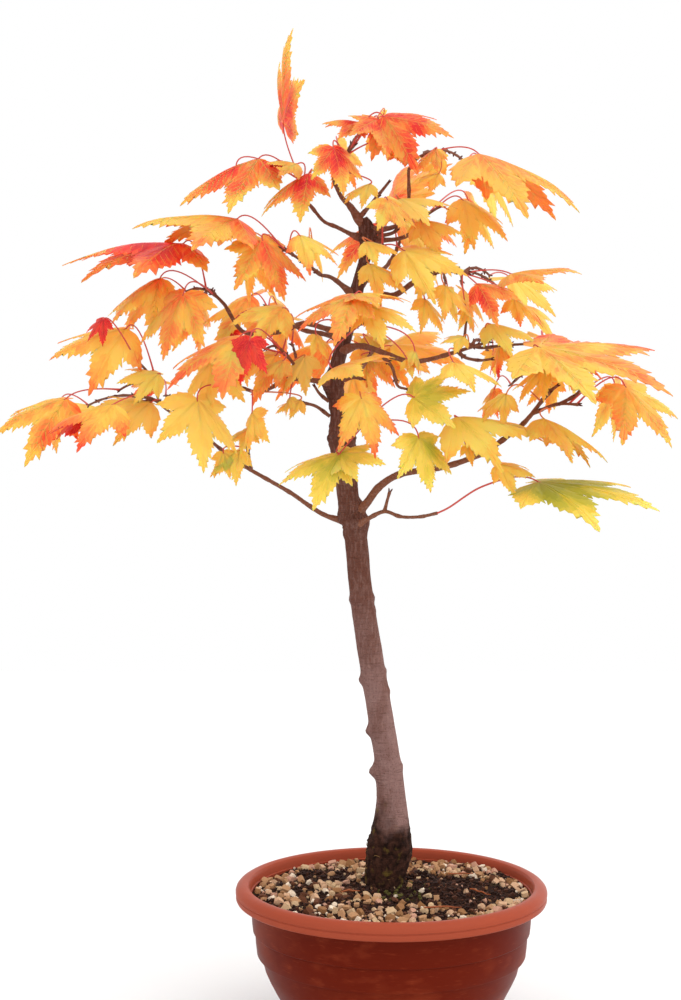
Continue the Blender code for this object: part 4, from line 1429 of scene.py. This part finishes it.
@dataclass(frozen=True)
class Ribs:
    """The side veins: where the first starts, their spacing, how far they reach, and their ribbons' size."""

    first: float = 0.12
    stagger: float = 0.08
    spacing: float = 0.1
    narrowing: float = 0.4
    last: float = 0.76
    spread: float = 0.8
    reach: float = 0.82
    steps: tuple[float, ...] = (0, 0.33, 0.66, 1)
    half_width: float = 0.005
    lift: float = 0.0015

    def root(self, side: int) -> float:
        """Where the first side vein of a flank starts along its midrib."""
        return self.first + self.stagger / 2 * (side + 1)

    def along(self, flank: Flank) -> Iterator[list[Pair]]:
        """Lay out the side veins of a flank.

        Args:
            flank: The flank.

        Returns:
            For each vein its places along and across the lobe, from midrib to tooth.
        """
        along = self.root(flank.side)
        while along < flank.lobe.reach * self.last:
            width = 0.1
            for _ in range(6):
                width = flank.width(along + self.spread * width) * self.reach
            yield [(along + width * share * (1.25 - 0.45 * share), width * share) for share in self.steps]
            along += self.spacing * (1 - self.narrowing * along)

    def between(self, along: float, side: int) -> float:
        """How far a place on a lobe is from the side veins.

        Args:
            along: Where a side vein through the place would start.
            side: The flank's side.

        Returns:
            1 midway between two veins, -1 on one, and 0 beside the hub.
        """
        grown = within(1 - self.narrowing * along, 0.05, math.inf) / (1 - self.narrowing * self.root(side))
        count = -math.log(grown) / (self.narrowing * self.spacing)
        return -math.cos(math.tau * count) if along > 0 else 0.0


@dataclass
class BladePlan:
    """The pattern that all blades are cut from: five toothed, waisted lobes with a net of raised veins."""

    lobes: tuple[LobePlan, ...] = (
        LobePlan(-94, 0.55, 10), LobePlan(-45, 0.90, 16), LobePlan(0, 1.0, 18), LobePlan(45, 0.90, 16),
        LobePlan(94, 0.55, 10),
    )
    notches: tuple[Pair, ...] = ((-148, 0.15), (-70, 0.32), (-23, 0.41), (23, 0.41), (70, 0.32), (148, 0.15))
    heel: Pair = (180.0, 0.03)
    rows: tuple[float, ...] = (0.0, 0.12, 0.24, 0.36, 0.47, 0.58, 0.68, 0.78, 0.87, 0.94, 1.0)
    outline: Outline = Outline()
    ribs: Ribs = Ribs()
    layers: tuple[str, ...] = ("share", "along", "vein")
    curl: float = 0.12
    hook: float = 0.25
    fold: float = 0.12
    midrib_dip: float = 0.005
    pucker: float = 0.003
    # How far the level rises midway between the side veins: partly the leaf's own mottle, partly painted
    # shade of the puckers.
    pucker_tint_and_shade: float = 0.045
    vein_level: float = 0.47
    vein_share: Pair = (0.12, 0.5)
    veined_from: float = 0.5

    def flanks(self) -> list[tuple[Flank, Flank]]:
        """The two sides of each lobe."""
        pairs = zip(self.lobes, self.notches, self.notches[1:], strict=False)
        return [(Flank(lobe, a, -1, self.outline), Flank(lobe, b, 1, self.outline)) for lobe, a, b in pairs]

    def columns(self) -> list[Column]:
        """Lay out the blade's lines.

        Returns:
            The lines in order round its edge, from one side of the heel to the other.
        """
        angle, reach = self.heel
        heel = Column(Flank(LobePlan(angle, reach, 1), (angle, 0.0), 1, self.outline), 1.0)
        made = [heel]
        for right, left in self.flanks():
            count = right.lobe.points
            points = [(step / count, self.outline.tooth(right.lobe, step)) for step in range(count)]
            made += [Column(right, share, tooth) for share, tooth in points]
            made += [Column(right, 1.0, vein=True), Column(right, 1.0, vein=True, middle=True)]
            made.append(Column(left, 1.0, vein=True))
            made += [Column(left, share, tooth) for share, tooth in points[:0:-1]]
        return [*made, Column(left, 0.0), heel]

    def line_at(self, flank: Flank, along: float, across: float) -> Pair:
        """Find the line that runs through a place.

        Args:
            flank: The flank that the place is on.
            along: How far along the lobe it is, in spans.
            across: How far across it is, in spans.

        Returns:
            The share of the line's length, and how far along the flank it ends.
        """
        start, reach = flank.start(), flank.lobe.reach
        best = (1.0, 1.0, 1.0)
        for step in range(25):
            end = start + (reach - start) * step / 24
            if end >= along:
                share = along / end
                miss = abs(flank.width(end) * share ** self.outline.lean(step / 24) - across)
                best = min(best, (miss, share, step / 24))
        return best[1:]

    def between(self, x: float, y: float) -> float:
        """How far a place on the blade is from the side veins.

        Args:
            x: The place's x in spans.
            y: The place's y in spans.

        Returns:
            1 midway between two veins, -1 on one, and 0 beside the hub.
        """
        angle = math.degrees(math.atan2(y, x))
        turn = math.radians(min(self.lobes, key=lambda lobe: abs(angle - lobe.angle)).angle)
        across = y * math.cos(turn) - x * math.sin(turn)
        along = x * math.cos(turn) + y * math.sin(turn) - abs(across)
        return self.ribs.between(along, 1 if across > 0 else -1)

    def height(self, x: float, y: float) -> float:
        """How high the pattern is: it droops outward and dips between its lobes.

        Args:
            x: The place's x in spans.
            y: The place's y in spans.

        Returns:
            The height in spans.
        """
        reach, angle = math.hypot(x, y), math.degrees(math.atan2(y, x))
        droop = -self.curl * reach**2 - self.hook * max(0.0, reach - 0.6) ** 2
        gap = min(abs(angle - lobe.angle) for lobe in self.lobes) / 28
        puffed = self.pucker * self.between(x, y) * min(1.0, reach * 3) * max(0.0, 1 - 0.6 * reach)
        return droop + puffed - self.fold * reach * min(1.0, gap) ** 2 * max(0.0, 1 - reach)

    def cut(self) -> None:
        """Cut the plain pattern from a grid bent to the blade's lines, and the veined one from the plain."""
        columns = self.columns()
        bm = bmesh.new()
        share_layer, along_layer, vein_layer = (bm.verts.layers.float.new(name) for name in self.layers)
        for vert, number, row in gridded(bm, len(columns) - 1, len(self.rows) - 1):
            column, share = columns[number], self.rows[row]
            x, y = column.place(share)
            dip = self.midrib_dip * min(1.0, share * 5) if column.middle else 0.0
            vert.co = (x, y, self.height(x, y) - dip)
            vert[share_layer] = share
            vert[along_layer] = column.along
            vert[vein_layer] = 1.0 if column.vein or share == 0 else 0.0
        bmesh.ops.remove_doubles(bm, verts=bm.verts[:], dist=1e-5)
        if sum(face.normal.z * face.calc_area() for face in bm.faces) < 0:
            bmesh.ops.reverse_faces(bm, faces=bm.faces[:])
        self.plain = to_mesh(bm, "blade_plain")
        bm = bmesh.new()
        bm.from_mesh(self.plain)
        for flank in (flank for pair in self.flanks() for flank in pair):
            for path in self.ribs.along(flank):
                self.add_rib(bm, flank, path)
        self.veined = to_mesh(bm, "blade")
        self.read_pattern()

    def add_rib(self, bm: BMesh, flank: Flank, path: list[Pair]) -> None:
        """Lay one side vein on the pattern as a thin tapering ribbon.

        Args:
            bm: The pattern.
            flank: The flank that the vein is on.
            path: The vein's places along and across the lobe.
        """
        last = len(path) - 1
        spots = [Vector(flank.turned(*place)) for place in path]
        way = spots[-1] - spots[0]
        side = Vector((-way.y, way.x)).normalized()
        layers = [bm.verts.layers.float[name] for name in self.layers]
        made = list(gridded(bm, last, 1))
        for vert, step, row in made:
            half = self.ribs.half_width * (1 - 0.7 * step / last) * (1 if row else -1)
            x, y = spots[step] + side * half
            vert.co = (x, y, self.height(x, y) + self.ribs.lift)
            vert[layers[0]], vert[layers[1]] = self.line_at(flank, *path[step])
            vert[layers[2]] = 1.0
        for face in {face for vert, _, _ in made for face in vert.link_faces}:
            face.normal_update()
            if face.normal.z < 0:
                face.normal_flip()

    def read_pattern(self) -> None:
        """Keep the veined pattern's points and its faces' places as arrays."""
        mesh = self.veined
        count = len(mesh.vertices)
        self.flat = np.empty(count * 3)
        mesh.vertices.foreach_get("co", self.flat)
        self.flat = self.flat.reshape(-1, 3)
        loops = np.empty(len(mesh.loops), int)
        mesh.loops.foreach_get("vertex_index", loops)
        starts = np.empty(len(mesh.polygons), int)
        mesh.polygons.foreach_get("loop_start", starts)
        sizes = np.diff(np.append(starts, len(loops)))

        def by_face(values: np.ndarray) -> np.ndarray:
            """The mean over each face of the values at its points."""
            return np.add.reduceat(values[loops], starts) / sizes

        means = []
        for name in self.layers:
            values = np.empty(count)
            mesh.attributes[name].data.foreach_get("value", values)
            means.append(by_face(values))
            mesh.attributes.remove(mesh.attributes[name])
        self.face_share, self.face_along, vein = means
        self.face_vein = vein > 0.999
        self.face_x, self.face_y = by_face(self.flat[:, 0]), by_face(self.flat[:, 1])
        places = zip(self.face_x, self.face_y, strict=True)
        self.face_between = np.array([self.between(x, y) for x, y in places])

    def shaped(self, hang: Hang, dice: Random) -> np.ndarray:
        """Shape the pattern for one blade, with its own uneven reach, swing, droop and waves.

        Args:
            hang: How the blade hangs.
            dice: The blade's chance.

        Returns:
            The pattern's points, in spans.
        """
        x, y, z = self.flat.T
        angle, reach = np.arctan2(y, x), np.hypot(x, y)
        phase = [dice.uniform(0, math.tau) for _ in range(9)]
        angle = angle + 0.07 * np.sin(2 * angle + phase[0]) * np.minimum(1, reach * 2)
        grown = 1 + 0.05 * np.sin(angle + phase[1]) + 0.06 * np.sin(3 * angle + phase[2])
        grown = 1 + (grown - 1) * (1 - np.exp(-((angle / 0.45) ** 2)))
        reach = reach * grown
        droop = 0.06 * (np.sin(angle + phase[3]) - math.sin(phase[3]))
        droop += 0.06 * (np.sin(2 * angle + phase[4]) - math.sin(phase[4]))
        waves = 0.018 * np.sin(7 * angle + phase[5]) + 0.014 * np.sin(11 * angle + phase[6])
        ripple = 0.012 * np.sin(9 * reach + 3 * angle + phase[7])
        z = z + hang.give * (droop * reach**2 + waves * reach + ripple * reach)
        x, y = np.cos(angle) * reach, np.sin(angle) * reach
        fold = math.radians(hang.fold)
        out = np.sqrt(y**2 + 0.05**2) - 0.05
        return np.stack((x, y * math.cos(fold), z - out * math.sin(fold)), axis=1)

    def levels(self, flush: Flush, dice: Random) -> np.ndarray:
        """Work out how far each face of a blade has turned, with painted pucker shade between the side veins.

        Args:
            flush: How far the leaf's zones have turned.
            dice: The blade's chance.

        Returns:
            The faces' levels, from 0 to 1.
        """
        share, along = self.face_share, self.face_along
        angle = np.arctan2(self.face_y, self.face_x)
        level = np.full(len(share), flush.body)
        level += (flush.heart - flush.body) * np.exp(-((share / 0.38) ** 2))
        level += (flush.tips - flush.body) * np.clip(share * along * 1.25 - 0.35, 0, 1)
        level += (flush.margin - flush.body) * share**4
        level += flush.lopsided * np.sin(angle + dice.uniform(0, math.tau)) * share
        shift = Vector([dice.uniform(0, 50) for _ in range(3)])
        blotches = []
        for x, y in zip(self.face_x, self.face_y, strict=True):
            broad = noise.noise(Vector((x * 3.2, y * 3.2, 0)) + shift)
            blotches.append(broad + 0.6 * noise.noise(Vector((x * 8, y * 8, 5)) + shift))
        level += flush.mottle * 1.6 * np.array(blotches)
        # Paler near the side veins and redder midway: partly the leaf's own mottle, partly painted shade of
        # the puckers between the veins.
        level += self.pucker_tint_and_shade * self.face_between * np.clip((level - 0.42) * 6, 0.15, 1)
        veins, (less, more) = level[self.face_vein], self.vein_share
        pull = np.where(veins > self.vein_level, more, less)
        level[self.face_vein] += (self.vein_level - veins) * pull
        return np.clip(level, min(flush.heart, flush.body, flush.margin, flush.tips) - 0.05, 1)


def blade_frame(leaf: Leaf, toward: float) -> Matrix:
    """Where a leaf's blade is and how it lies.

    Args:
        leaf: The leaf.
        toward: How far it stands out from the axis.

    Returns:
        Its frame: its middle lobe is local +X and its face is local +Z.
    """
    heading, lean = math.radians(leaf.heading), math.radians(leaf.lean)
    flat = math.cos(lean)
    lobe = Vector((math.cos(heading) * flat, -math.sin(lean), math.sin(heading) * flat))
    face = Vector((0, -1, 0)) - lobe * -lobe.y
    skyward = math.copysign(1.0, -lobe.x)
    face = Quaternion(lobe, skyward * math.radians(leaf.roll)) @ face.normalized()
    turned = Matrix((lobe, face.cross(lobe), face)).transposed().to_4x4()
    return Matrix.Translation(placed(leaf.across, leaf.height, toward)) @ turned


def true_span(leaf: Leaf, toward: float) -> float:
    """The middle lobe's real length in metres, from the length that shows from the front."""
    return leaf.span * MM * stretch(toward) / math.cos(math.radians(leaf.lean))


@dataclass(frozen=True)
class SolidBlade:
    """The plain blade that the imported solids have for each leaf, and the nudges they try for its room."""

    nudges: tuple[int, ...] = (0, 8, -8, 16, -16, 26, -26, 38, -38)
    hub: float = 0.22
    thickness: float = 0.024
    lobes: tuple[Pair, ...] = ((0, 1.0), (52, 0.84), (-52, 0.84), (112, 0.52), (-112, 0.52))
    curl: float = 0.2
    found_within: float = 0.0012

    def probes(self) -> list[Vector]:
        """Places that lie on the solid's blade.

        Returns:
            A place over its hub and the tip of each lobe, in spans.
        """
        made = [Vector((self.hub, 0, self.thickness / 2))]
        for angle, reach in self.lobes:
            turn = math.radians(angle)
            made.append(Vector((math.cos(turn) * reach, math.sin(turn) * reach, -self.curl * reach**2)))
        return made

    def settle(self, leaf: Leaf, heart: float, solid: BVHTree) -> float | None:
        """Find how far toward the viewer the solid has a leaf.

        Args:
            leaf: The leaf.
            heart: How far toward the viewer its mass's heart is.
            solid: The mass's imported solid.

        Returns:
            The place, or None where the solid has no such leaf.
        """
        best, best_apart = None, self.found_within
        for nudge in self.nudges:
            toward = heart + leaf.toward + nudge
            span, place = true_span(leaf, toward), blade_frame(leaf, toward)
            apart = sorted(solid.find_nearest(place @ (probe * span))[3] for probe in self.probes())
            middling = apart[len(apart) // 2]
            if middling < best_apart:
                best, best_apart = toward, middling
        return best


@dataclass(frozen=True)
class RearLeaves:
    """The leaves behind a mass: each hides behind a front leaf, deeper in the crown, and turned by chance."""

    crown_middle: float = -45.0
    crown_half_width: float = 300.0
    crown_depth: float = 205.0
    scatter: float = 11.0
    swing: float = 40.0
    size: Pair = (0.72, 0.9)
    largest: float = 70.0
    rise: float = 19.0
    turns: tuple[Turn, ...] = (Turn.GOLD, Turn.AMBER, Turn.HONEY, Turn.PALE, Turn.AMBER_FLUSHED)

    def crown_behind(self, across: float) -> float:
        """How far the crown reaches behind the trunk's plane at a place across it, in millimetres."""
        share = (across - self.crown_middle) / self.crown_half_width
        return self.crown_depth * math.sqrt(max(0.15, 1.0 - share**2))

    def of(self, mass: Mass, lobes: tuple[LobePlan, ...], dice: Random) -> Iterator[Leaf]:
        """Grow the leaves behind a mass.

        Args:
            mass: The mass.
            lobes: The blade's lobes.
            dice: The mass's chance.

        Returns:
            Each leaf that doesn't stick up past the front ones.
        """
        for number in range(mass.rear):
            front = mass.leaves[number % len(mass.leaves)]
            depth = self.crown_behind(front.across) * dice.uniform(0.25, 0.85)
            leaf = Leaf(
                across=front.across + dice.uniform(-self.scatter, self.scatter),
                height=front.height + dice.uniform(-self.scatter, self.scatter / 2),
                span=min(front.span, self.largest) * dice.uniform(*self.size),
                heading=front.heading + dice.uniform(-self.swing, self.swing),
                toward=-depth - min(mass.stem[-1][2], 0.0),
                roll=dice.uniform(0, 50),
                lean=dice.uniform(-40, -5),
                turn=self.turns[(number * 3 + len(mass.name)) % len(self.turns)],
            )
            rise = max(math.sin(math.radians(leaf.heading + lobe.angle)) * lobe.reach for lobe in lobes)
            top = rise * leaf.span * math.cos(math.radians(leaf.roll)) + leaf.height
            if top < front.height + self.rise:
                yield leaf


@dataclass
class Foliage:
    """Every mass of foliage: stems, side twigs, leaf stalks, blades and buds, grown by the solids' rule.

    The solids try places for each leaf, one after another, until it has room. Here the place that they
    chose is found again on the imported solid: it is the one where the blade's own points lie on it.
    """

    plan: BladePlan = field(default_factory=BladePlan)
    solid_blade: SolidBlade = SolidBlade()
    behind: RearLeaves = RearLeaves()
    ramp: AutumnRamp = AutumnRamp()
    arches: tuple[float, ...] = (0.18, 0.32, 0.06, -0.05)
    spacing: float = 1.8
    stem_thickness: Pair = (3.0, 0.5)
    slender_radius: float = 0.75
    thinnest: float = 1.0
    stalk_reach: float = 62.0
    stalk_radius: float = 0.56
    stalk_foot: float = 0.4
    stalk_sides: int = 7
    neck: float = 11.0
    twig_radius: float = 1.15
    twig_taper: float = 0.02
    twig_sides: int = 8
    node_spacing: Pair = (13.0, 18.0)
    node_size: float = 0.4
    bud_spacing: float = 3.2
    bud_radius: float = 0.8
    bud_length: Pair = (1.5, 2.4)
    buds_at_tip: int = 4
    seed: int = 11
    blade_thickness: float = 0.32
    steepest: float = 88.0

    def __post_init__(self) -> None:
        """Start the pieces that hold what every mass has."""
        self.twigs, self.stalks, self.buds = Gathering(), Gathering(), Gathering()
        self.counts = {"settled": 0, "free": 0}

    def build(self, bark: Material) -> None:
        """Grow all the masses and the bare shoots.

        Args:
            bark: The young bark.
        """
        self.plan.cut()
        tints = self.ramp.materials()
        for index, mass in enumerate(MASSES):
            self.grow(index, mass, tints)
        dice = Random(self.seed)
        for stations in SHOOTS:
            self.twig(*smooth_path(stations, self.spacing), dice)
        waxy = (0.4, 1200.0, 0.00005)
        bud = PlainFinish("bud_scale", linear(92, 44, 34), 0.45).material()
        red = PlainFinish("stalk_red", linear(204, 82, 74), *waxy).material()
        amber = PlainFinish("stalk_amber", linear(214, 120, 66), *waxy).material()
        show(self.twigs.bm, "twigs", [bark], crease=70)
        show(self.stalks.bm, "leaf_stalks", [red, amber], crease=70)
        show(self.buds.bm, "buds", [bud], crease=60)
        LOG.info("leaves: %d on the solids' places, %d free", self.counts["settled"], self.counts["free"])

    def grow(self, index: int, mass: Mass, tints: list[Material]) -> None:
        """Grow one mass as a piece of its own, and its stem, stalks and buds on the shared pieces.

        Args:
            index: The mass's number, which seeds its chance.
            mass: The mass.
            tints: The blades' materials.
        """
        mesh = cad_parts[mass.name].data
        faces = [face.vertices[:] for face in mesh.polygons]
        solid = BVHTree.FromPolygons([vert.co for vert in mesh.vertices], faces)
        heart = mass.stem[-1][2]
        stem = [placed(*station) for station in mass.stem]
        blades = Gathering()
        dice = Random(self.seed * 100 + index)
        thick, taper = self.stem_thickness
        stations = tuple((*station, thick - taper * number) for number, station in enumerate(mass.stem))
        path, radii = smooth_path(stations, self.spacing)
        if mass.slender:
            self.stalks.add(tube(path, [self.slender_radius * MM] * len(path), self.stalk_sides), 0)
        else:
            self.twig(path, [max(radius, self.thinnest * MM) for radius in radii], dice)
        grown = 0
        rear = tuple(self.behind.of(mass, self.plan.lobes, Random(self.seed + index)))
        for leaf in (*mass.leaves, *rear, *mass.extra):
            toward = self.solid_blade.settle(leaf, heart, solid)
            self.counts["free" if toward is None else "settled"] += 1
            if toward is None and leaf in rear:
                continue
            if toward is None:
                toward = heart + leaf.toward
            self.hang(leaf, toward, stem, grown, solid, dice)
            blades.add_mesh(self.blade(leaf, toward, dice))
            grown += 1
        name = mass.name.replace("foliage", "leaves")
        piece = show(blades.bm, name, tints, (mass.name,), crease=75)
        wall = piece.modifiers.new("wall", "SOLIDIFY")
        wall.thickness = self.blade_thickness * MM
        wall.offset = 0.0
        wall.material_offset = self.ramp.steps
        wall.material_offset_rim = 0

    def blade(self, leaf: Leaf, toward: float, dice: Random) -> Mesh:
        """Shape and tint one blade in its place.

        Its roll, span and heading are corrected until its drooping tip looks to be where the plan has it.

        Args:
            leaf: The leaf.
            toward: How far it stands out from the axis.
            dice: The mass's chance.

        Returns:
            The blade's mesh.
        """
        hang, flush = leaf.pose.value, leaf.turn.value
        drop = hang.droop * leaf.span
        heading = math.radians(leaf.heading)
        target = Vector((math.cos(heading), math.sin(heading))) * leaf.span
        aim, tip = target.copy(), Vector((1, 0, self.plan.height(1.0, 0.0)))
        for _ in range(6):
            roll = math.copysign(min(leaf.roll + hang.tilt, self.steepest), aim.x * target.x)
            held = replace(leaf, span=aim.length, heading=math.degrees(math.atan2(aim.y, aim.x)), roll=roll)
            reached = blade_frame(held, 0).to_3x3() @ tip * (aim.length / math.cos(math.radians(leaf.lean)))
            aim += (target - Vector((reached.x, reached.z - drop))) * 0.8
        flat = self.plan.shaped(hang, dice)
        place = np.array(blade_frame(held, toward))
        points = flat * true_span(held, toward) @ place[:3, :3].T + place[:3, 3]
        reach = np.minimum(1.1, np.hypot(flat[:, 0], flat[:, 1]))
        points[:, 2] -= drop * MM * stretch(toward) * (0.5 * reach + 0.5 * reach**2)
        mesh = (self.plan.veined if flush.body > self.plan.veined_from else self.plan.plain).copy()
        mesh.vertices.foreach_set("co", points[: len(mesh.vertices)].ravel())
        steps = np.round(self.plan.levels(flush, dice) * (self.ramp.steps - 1)).astype(int)
        steps += self.ramp.steps if leaf.under else 0
        mesh.polygons.foreach_set("material_index", steps[: len(mesh.polygons)])
        mesh.update()
        return mesh

    def hang(
        self, leaf: Leaf, toward: float, stem: list[Vector], grown: int, solid: BVHTree, dice: Random
    ) -> None:
        """Grow the stalk that carries a blade, and a side twig where the stem is out of its reach.

        Args:
            leaf: The leaf.
            toward: How far its blade stands out from the axis.
            stem: The stem of its mass.
            grown: How many leaves the mass has already.
            solid: The mass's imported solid, which the stalk keeps close to.
            dice: The mass's chance.
        """
        place = blade_frame(leaf, toward)
        junction, lobe = place.translation, place.to_3x3().col[0]
        start = nearest_on(stem, junction)
        back = (stem[-2] - stem[-1]).normalized() * self.bud_spacing * MM
        if (start - stem[-1]).length < back.length:
            start = stem[-1] + back * (0.5 + grown % self.buds_at_tip)
        way = junction - start
        if way.length > self.stalk_reach * MM:
            end = start + way * (1 - self.stalk_reach * 0.7 * MM / way.length)
            middle = start.lerp(end, 0.5) + Vector((0, 0, way.length * 0.05))
            path = arc_path(start, middle * 2 - start.lerp(end, 0.5), end, 14)
            radii = [(self.twig_radius - self.twig_taper * step) * MM for step in range(len(path))]
            self.twig(path, radii, dice)
            start = end
        length = (junction - start).length
        neck = junction - lobe * min(length * 0.4, self.neck * MM)

        def bend(arch: float) -> Vector:
            """Where the stalk bends if it arches so far."""
            return neck + Vector((0, 0, arch * min(length, self.neck * 3 * MM)))

        def apart(arch: float) -> float:
            """How far the middle of that stalk is from the solid."""
            return solid.find_nearest(arc_path(start, bend(arch), junction, 2)[1])[3]

        path = arc_path(start, bend(min(self.arches, key=apart)), junction, 12)
        path.append(junction + lobe * 0.03 * true_span(leaf, toward))
        foot = [self.stalk_foot * math.exp(-step / 1.2) for step in range(len(path))]
        radii = [(self.stalk_radius + swell) * MM for swell in foot]
        reddish = leaf.turn.value.heart > 0.5 or dice.random() < 0.6
        self.stalks.add(tube(path, radii, self.stalk_sides), 0 if reddish else 1)

    def twig(self, path: list[Vector], radii: list[float], dice: Random) -> None:
        """Grow a bare twig with a swelling and a pair of buds at each node and buds at its tip.

        Args:
            path: Its middle line.
            radii: The radius at each of its points.
            dice: The mass's chance.
        """
        spacing, phase = dice.uniform(*self.node_spacing) * MM, dice.random()

        def share(point: Vector) -> float:
            """How far a place is between two nodes: the swelling is at a half."""
            return ((point - path[0]).length / spacing + phase) % 1.0

        def relief(point: Vector, outward: Vector, turn: float) -> float:
            """The swelling at a place."""
            return self.node_size * MM * bump_at((share(point) - 0.5) * 7)

        self.twigs.add(tube(path, radii, self.twig_sides, relief))
        for index in range(2, len(path) - 1):
            if share(path[index - 1]) < 0.5 <= share(path[index]):
                self.bud_pair(path[index], path[index] - path[index - 1], radii[index], dice)
        self.bud_pair(path[-1], path[-1] - path[-2], radii[-1], dice, spread=0.35)

    def bud_pair(self, spot: Vector, way: Vector, radius: float, dice: Random, spread: float = 0.9) -> None:
        """Set two opposite buds on a twig.

        Args:
            spot: The place on the twig's middle line.
            way: The twig's direction there.
            radius: The twig's radius there.
            dice: The mass's chance.
            spread: How far the buds turn away from the twig.
        """
        way = way.normalized()
        side = Quaternion(way, dice.uniform(0, math.tau)) @ way.orthogonal().normalized()
        size = self.bud_radius * MM
        for facing in (side, -side):
            point = (way + facing * spread).normalized()
            length = dice.uniform(*self.bud_length) * MM
            bm = bmesh.new()
            bmesh.ops.create_uvsphere(bm, u_segments=6, v_segments=5, radius=size)
            for vert in bm.verts:
                pinch = 1 - 0.35 * max(0.0, vert.co.z / size)
                vert.co = Vector((vert.co.x * pinch, vert.co.y * pinch, vert.co.z * length / size))
            turn = Vector((0, 0, 1)).rotation_difference(point).to_matrix().to_4x4()
            foot = spot + facing * radius * 0.6 + point * length * 0.6
            bmesh.ops.transform(bm, matrix=Matrix.Translation(foot) @ turn, verts=bm.verts[:])
            self.buds.add(bm)


# --- studio


@dataclass(frozen=True)
class Studio:
    """A pale floor under a wide soft light from above and behind, and the camera at the tree's front."""

    lens: float = 56.5
    sensor: float = 36.0
    eye: Triple = (-0.0404, -1.255, 0.4452)
    shift: float = -0.019
    floor_size: float = 2.4
    floor_drop: float = 0.0003
    light_from: Triple = (0.68, 0.2, 0.7)
    dim: float = 0.64
    bright: float = 1.5
    sun: float = 0.5
    sun_angle: float = 0.9
    sun_way: Triple = (-0.5, 0.6, -1.0)

    def build(self) -> None:
        """Set up camera, floor and lights."""
        camera = bpy.data.cameras.new("camera")
        camera.lens, camera.sensor_width, camera.shift_y = self.lens, self.sensor, self.shift
        stand = bpy.data.objects.new("camera", camera)
        stand.location = self.eye
        stand.rotation_euler = (math.radians(90), 0, 0)
        lamp = bpy.data.lights.new("key", "SUN")
        lamp.energy, lamp.angle = self.sun, self.sun_angle
        holder = bpy.data.objects.new("key", lamp)
        holder.rotation_euler = Vector(self.sun_way).to_track_quat("-Z", "Y").to_euler()
        scene = bpy.context.scene
        for thing in (stand, holder):
            scene.collection.objects.link(thing)
        scene.camera = stand
        scene.world = self.sky()
        scene.view_settings.view_transform = "Standard"
        self.floor()

    def sky(self) -> bpy.types.World:
        """Surround the scene with soft white, seen as plain white and brighter where the light comes from.

        Returns:
            The world.
        """
        world = bpy.data.worlds.new("sky")
        world.use_nodes = True
        graph = Nodes(world.node_tree)
        around = graph.node("TexCoord").outputs["Generated"]
        source = Vector(self.light_from).normalized()
        way = graph.node("VectorMath", {0: around, 1: source}, operation="DOT_PRODUCT").outputs["Value"]
        lit = graph.tree.nodes["Background"]
        lit.inputs["Color"].default_value = (1, 1, 1, 1)
        graph.wire(graph.range(way, (-1, 1), (self.dim, self.bright)), lit.inputs["Strength"])
        seen = graph.node("Background", {"Color": (1, 1, 1, 1)})
        eye = graph.node("LightPath").outputs["Is Camera Ray"]
        mixed = graph.node("MixShader", {0: eye, 1: lit.outputs[0], 2: seen.outputs[0]})
        graph.wire(mixed.outputs[0], graph.tree.nodes["World Output"].inputs["Surface"])
        return world

    def floor(self) -> None:
        """Lay the floor."""
        bm = bmesh.new()
        bmesh.ops.create_grid(bm, x_segments=2, y_segments=2, size=self.floor_size)
        bmesh.ops.translate(bm, verts=bm.verts[:], vec=(0, 0, -self.floor_drop))
        mesh = to_mesh(bm, "floor")
        mesh.materials.append(PlainFinish("floor", (0.84, 0.84, 0.84), 0.8, 30.0, 0.0001).material())
        floor = bpy.data.objects.new("floor", mesh)
        bpy.context.scene.collection.objects.link(floor)


def main() -> None:
    """Dress the whole plant."""
    logging.basicConfig(level=logging.INFO, format="%(message)s")
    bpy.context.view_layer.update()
    Studio().build()
    old = BarkFinish("trunk_bark").material()
    brown = {"grey": linear(152, 106, 86), "red": linear(140, 90, 68), "dark": linear(126, 80, 62)}
    young = BarkFinish("bough_bark", (500, 500, 500), **brown).material()
    Bowl().build()
    Topsoil().build()
    Trunk().build(old)
    Boughs().build(young)
    Foliage().build(young)


if __name__ == "__main__":
    main()
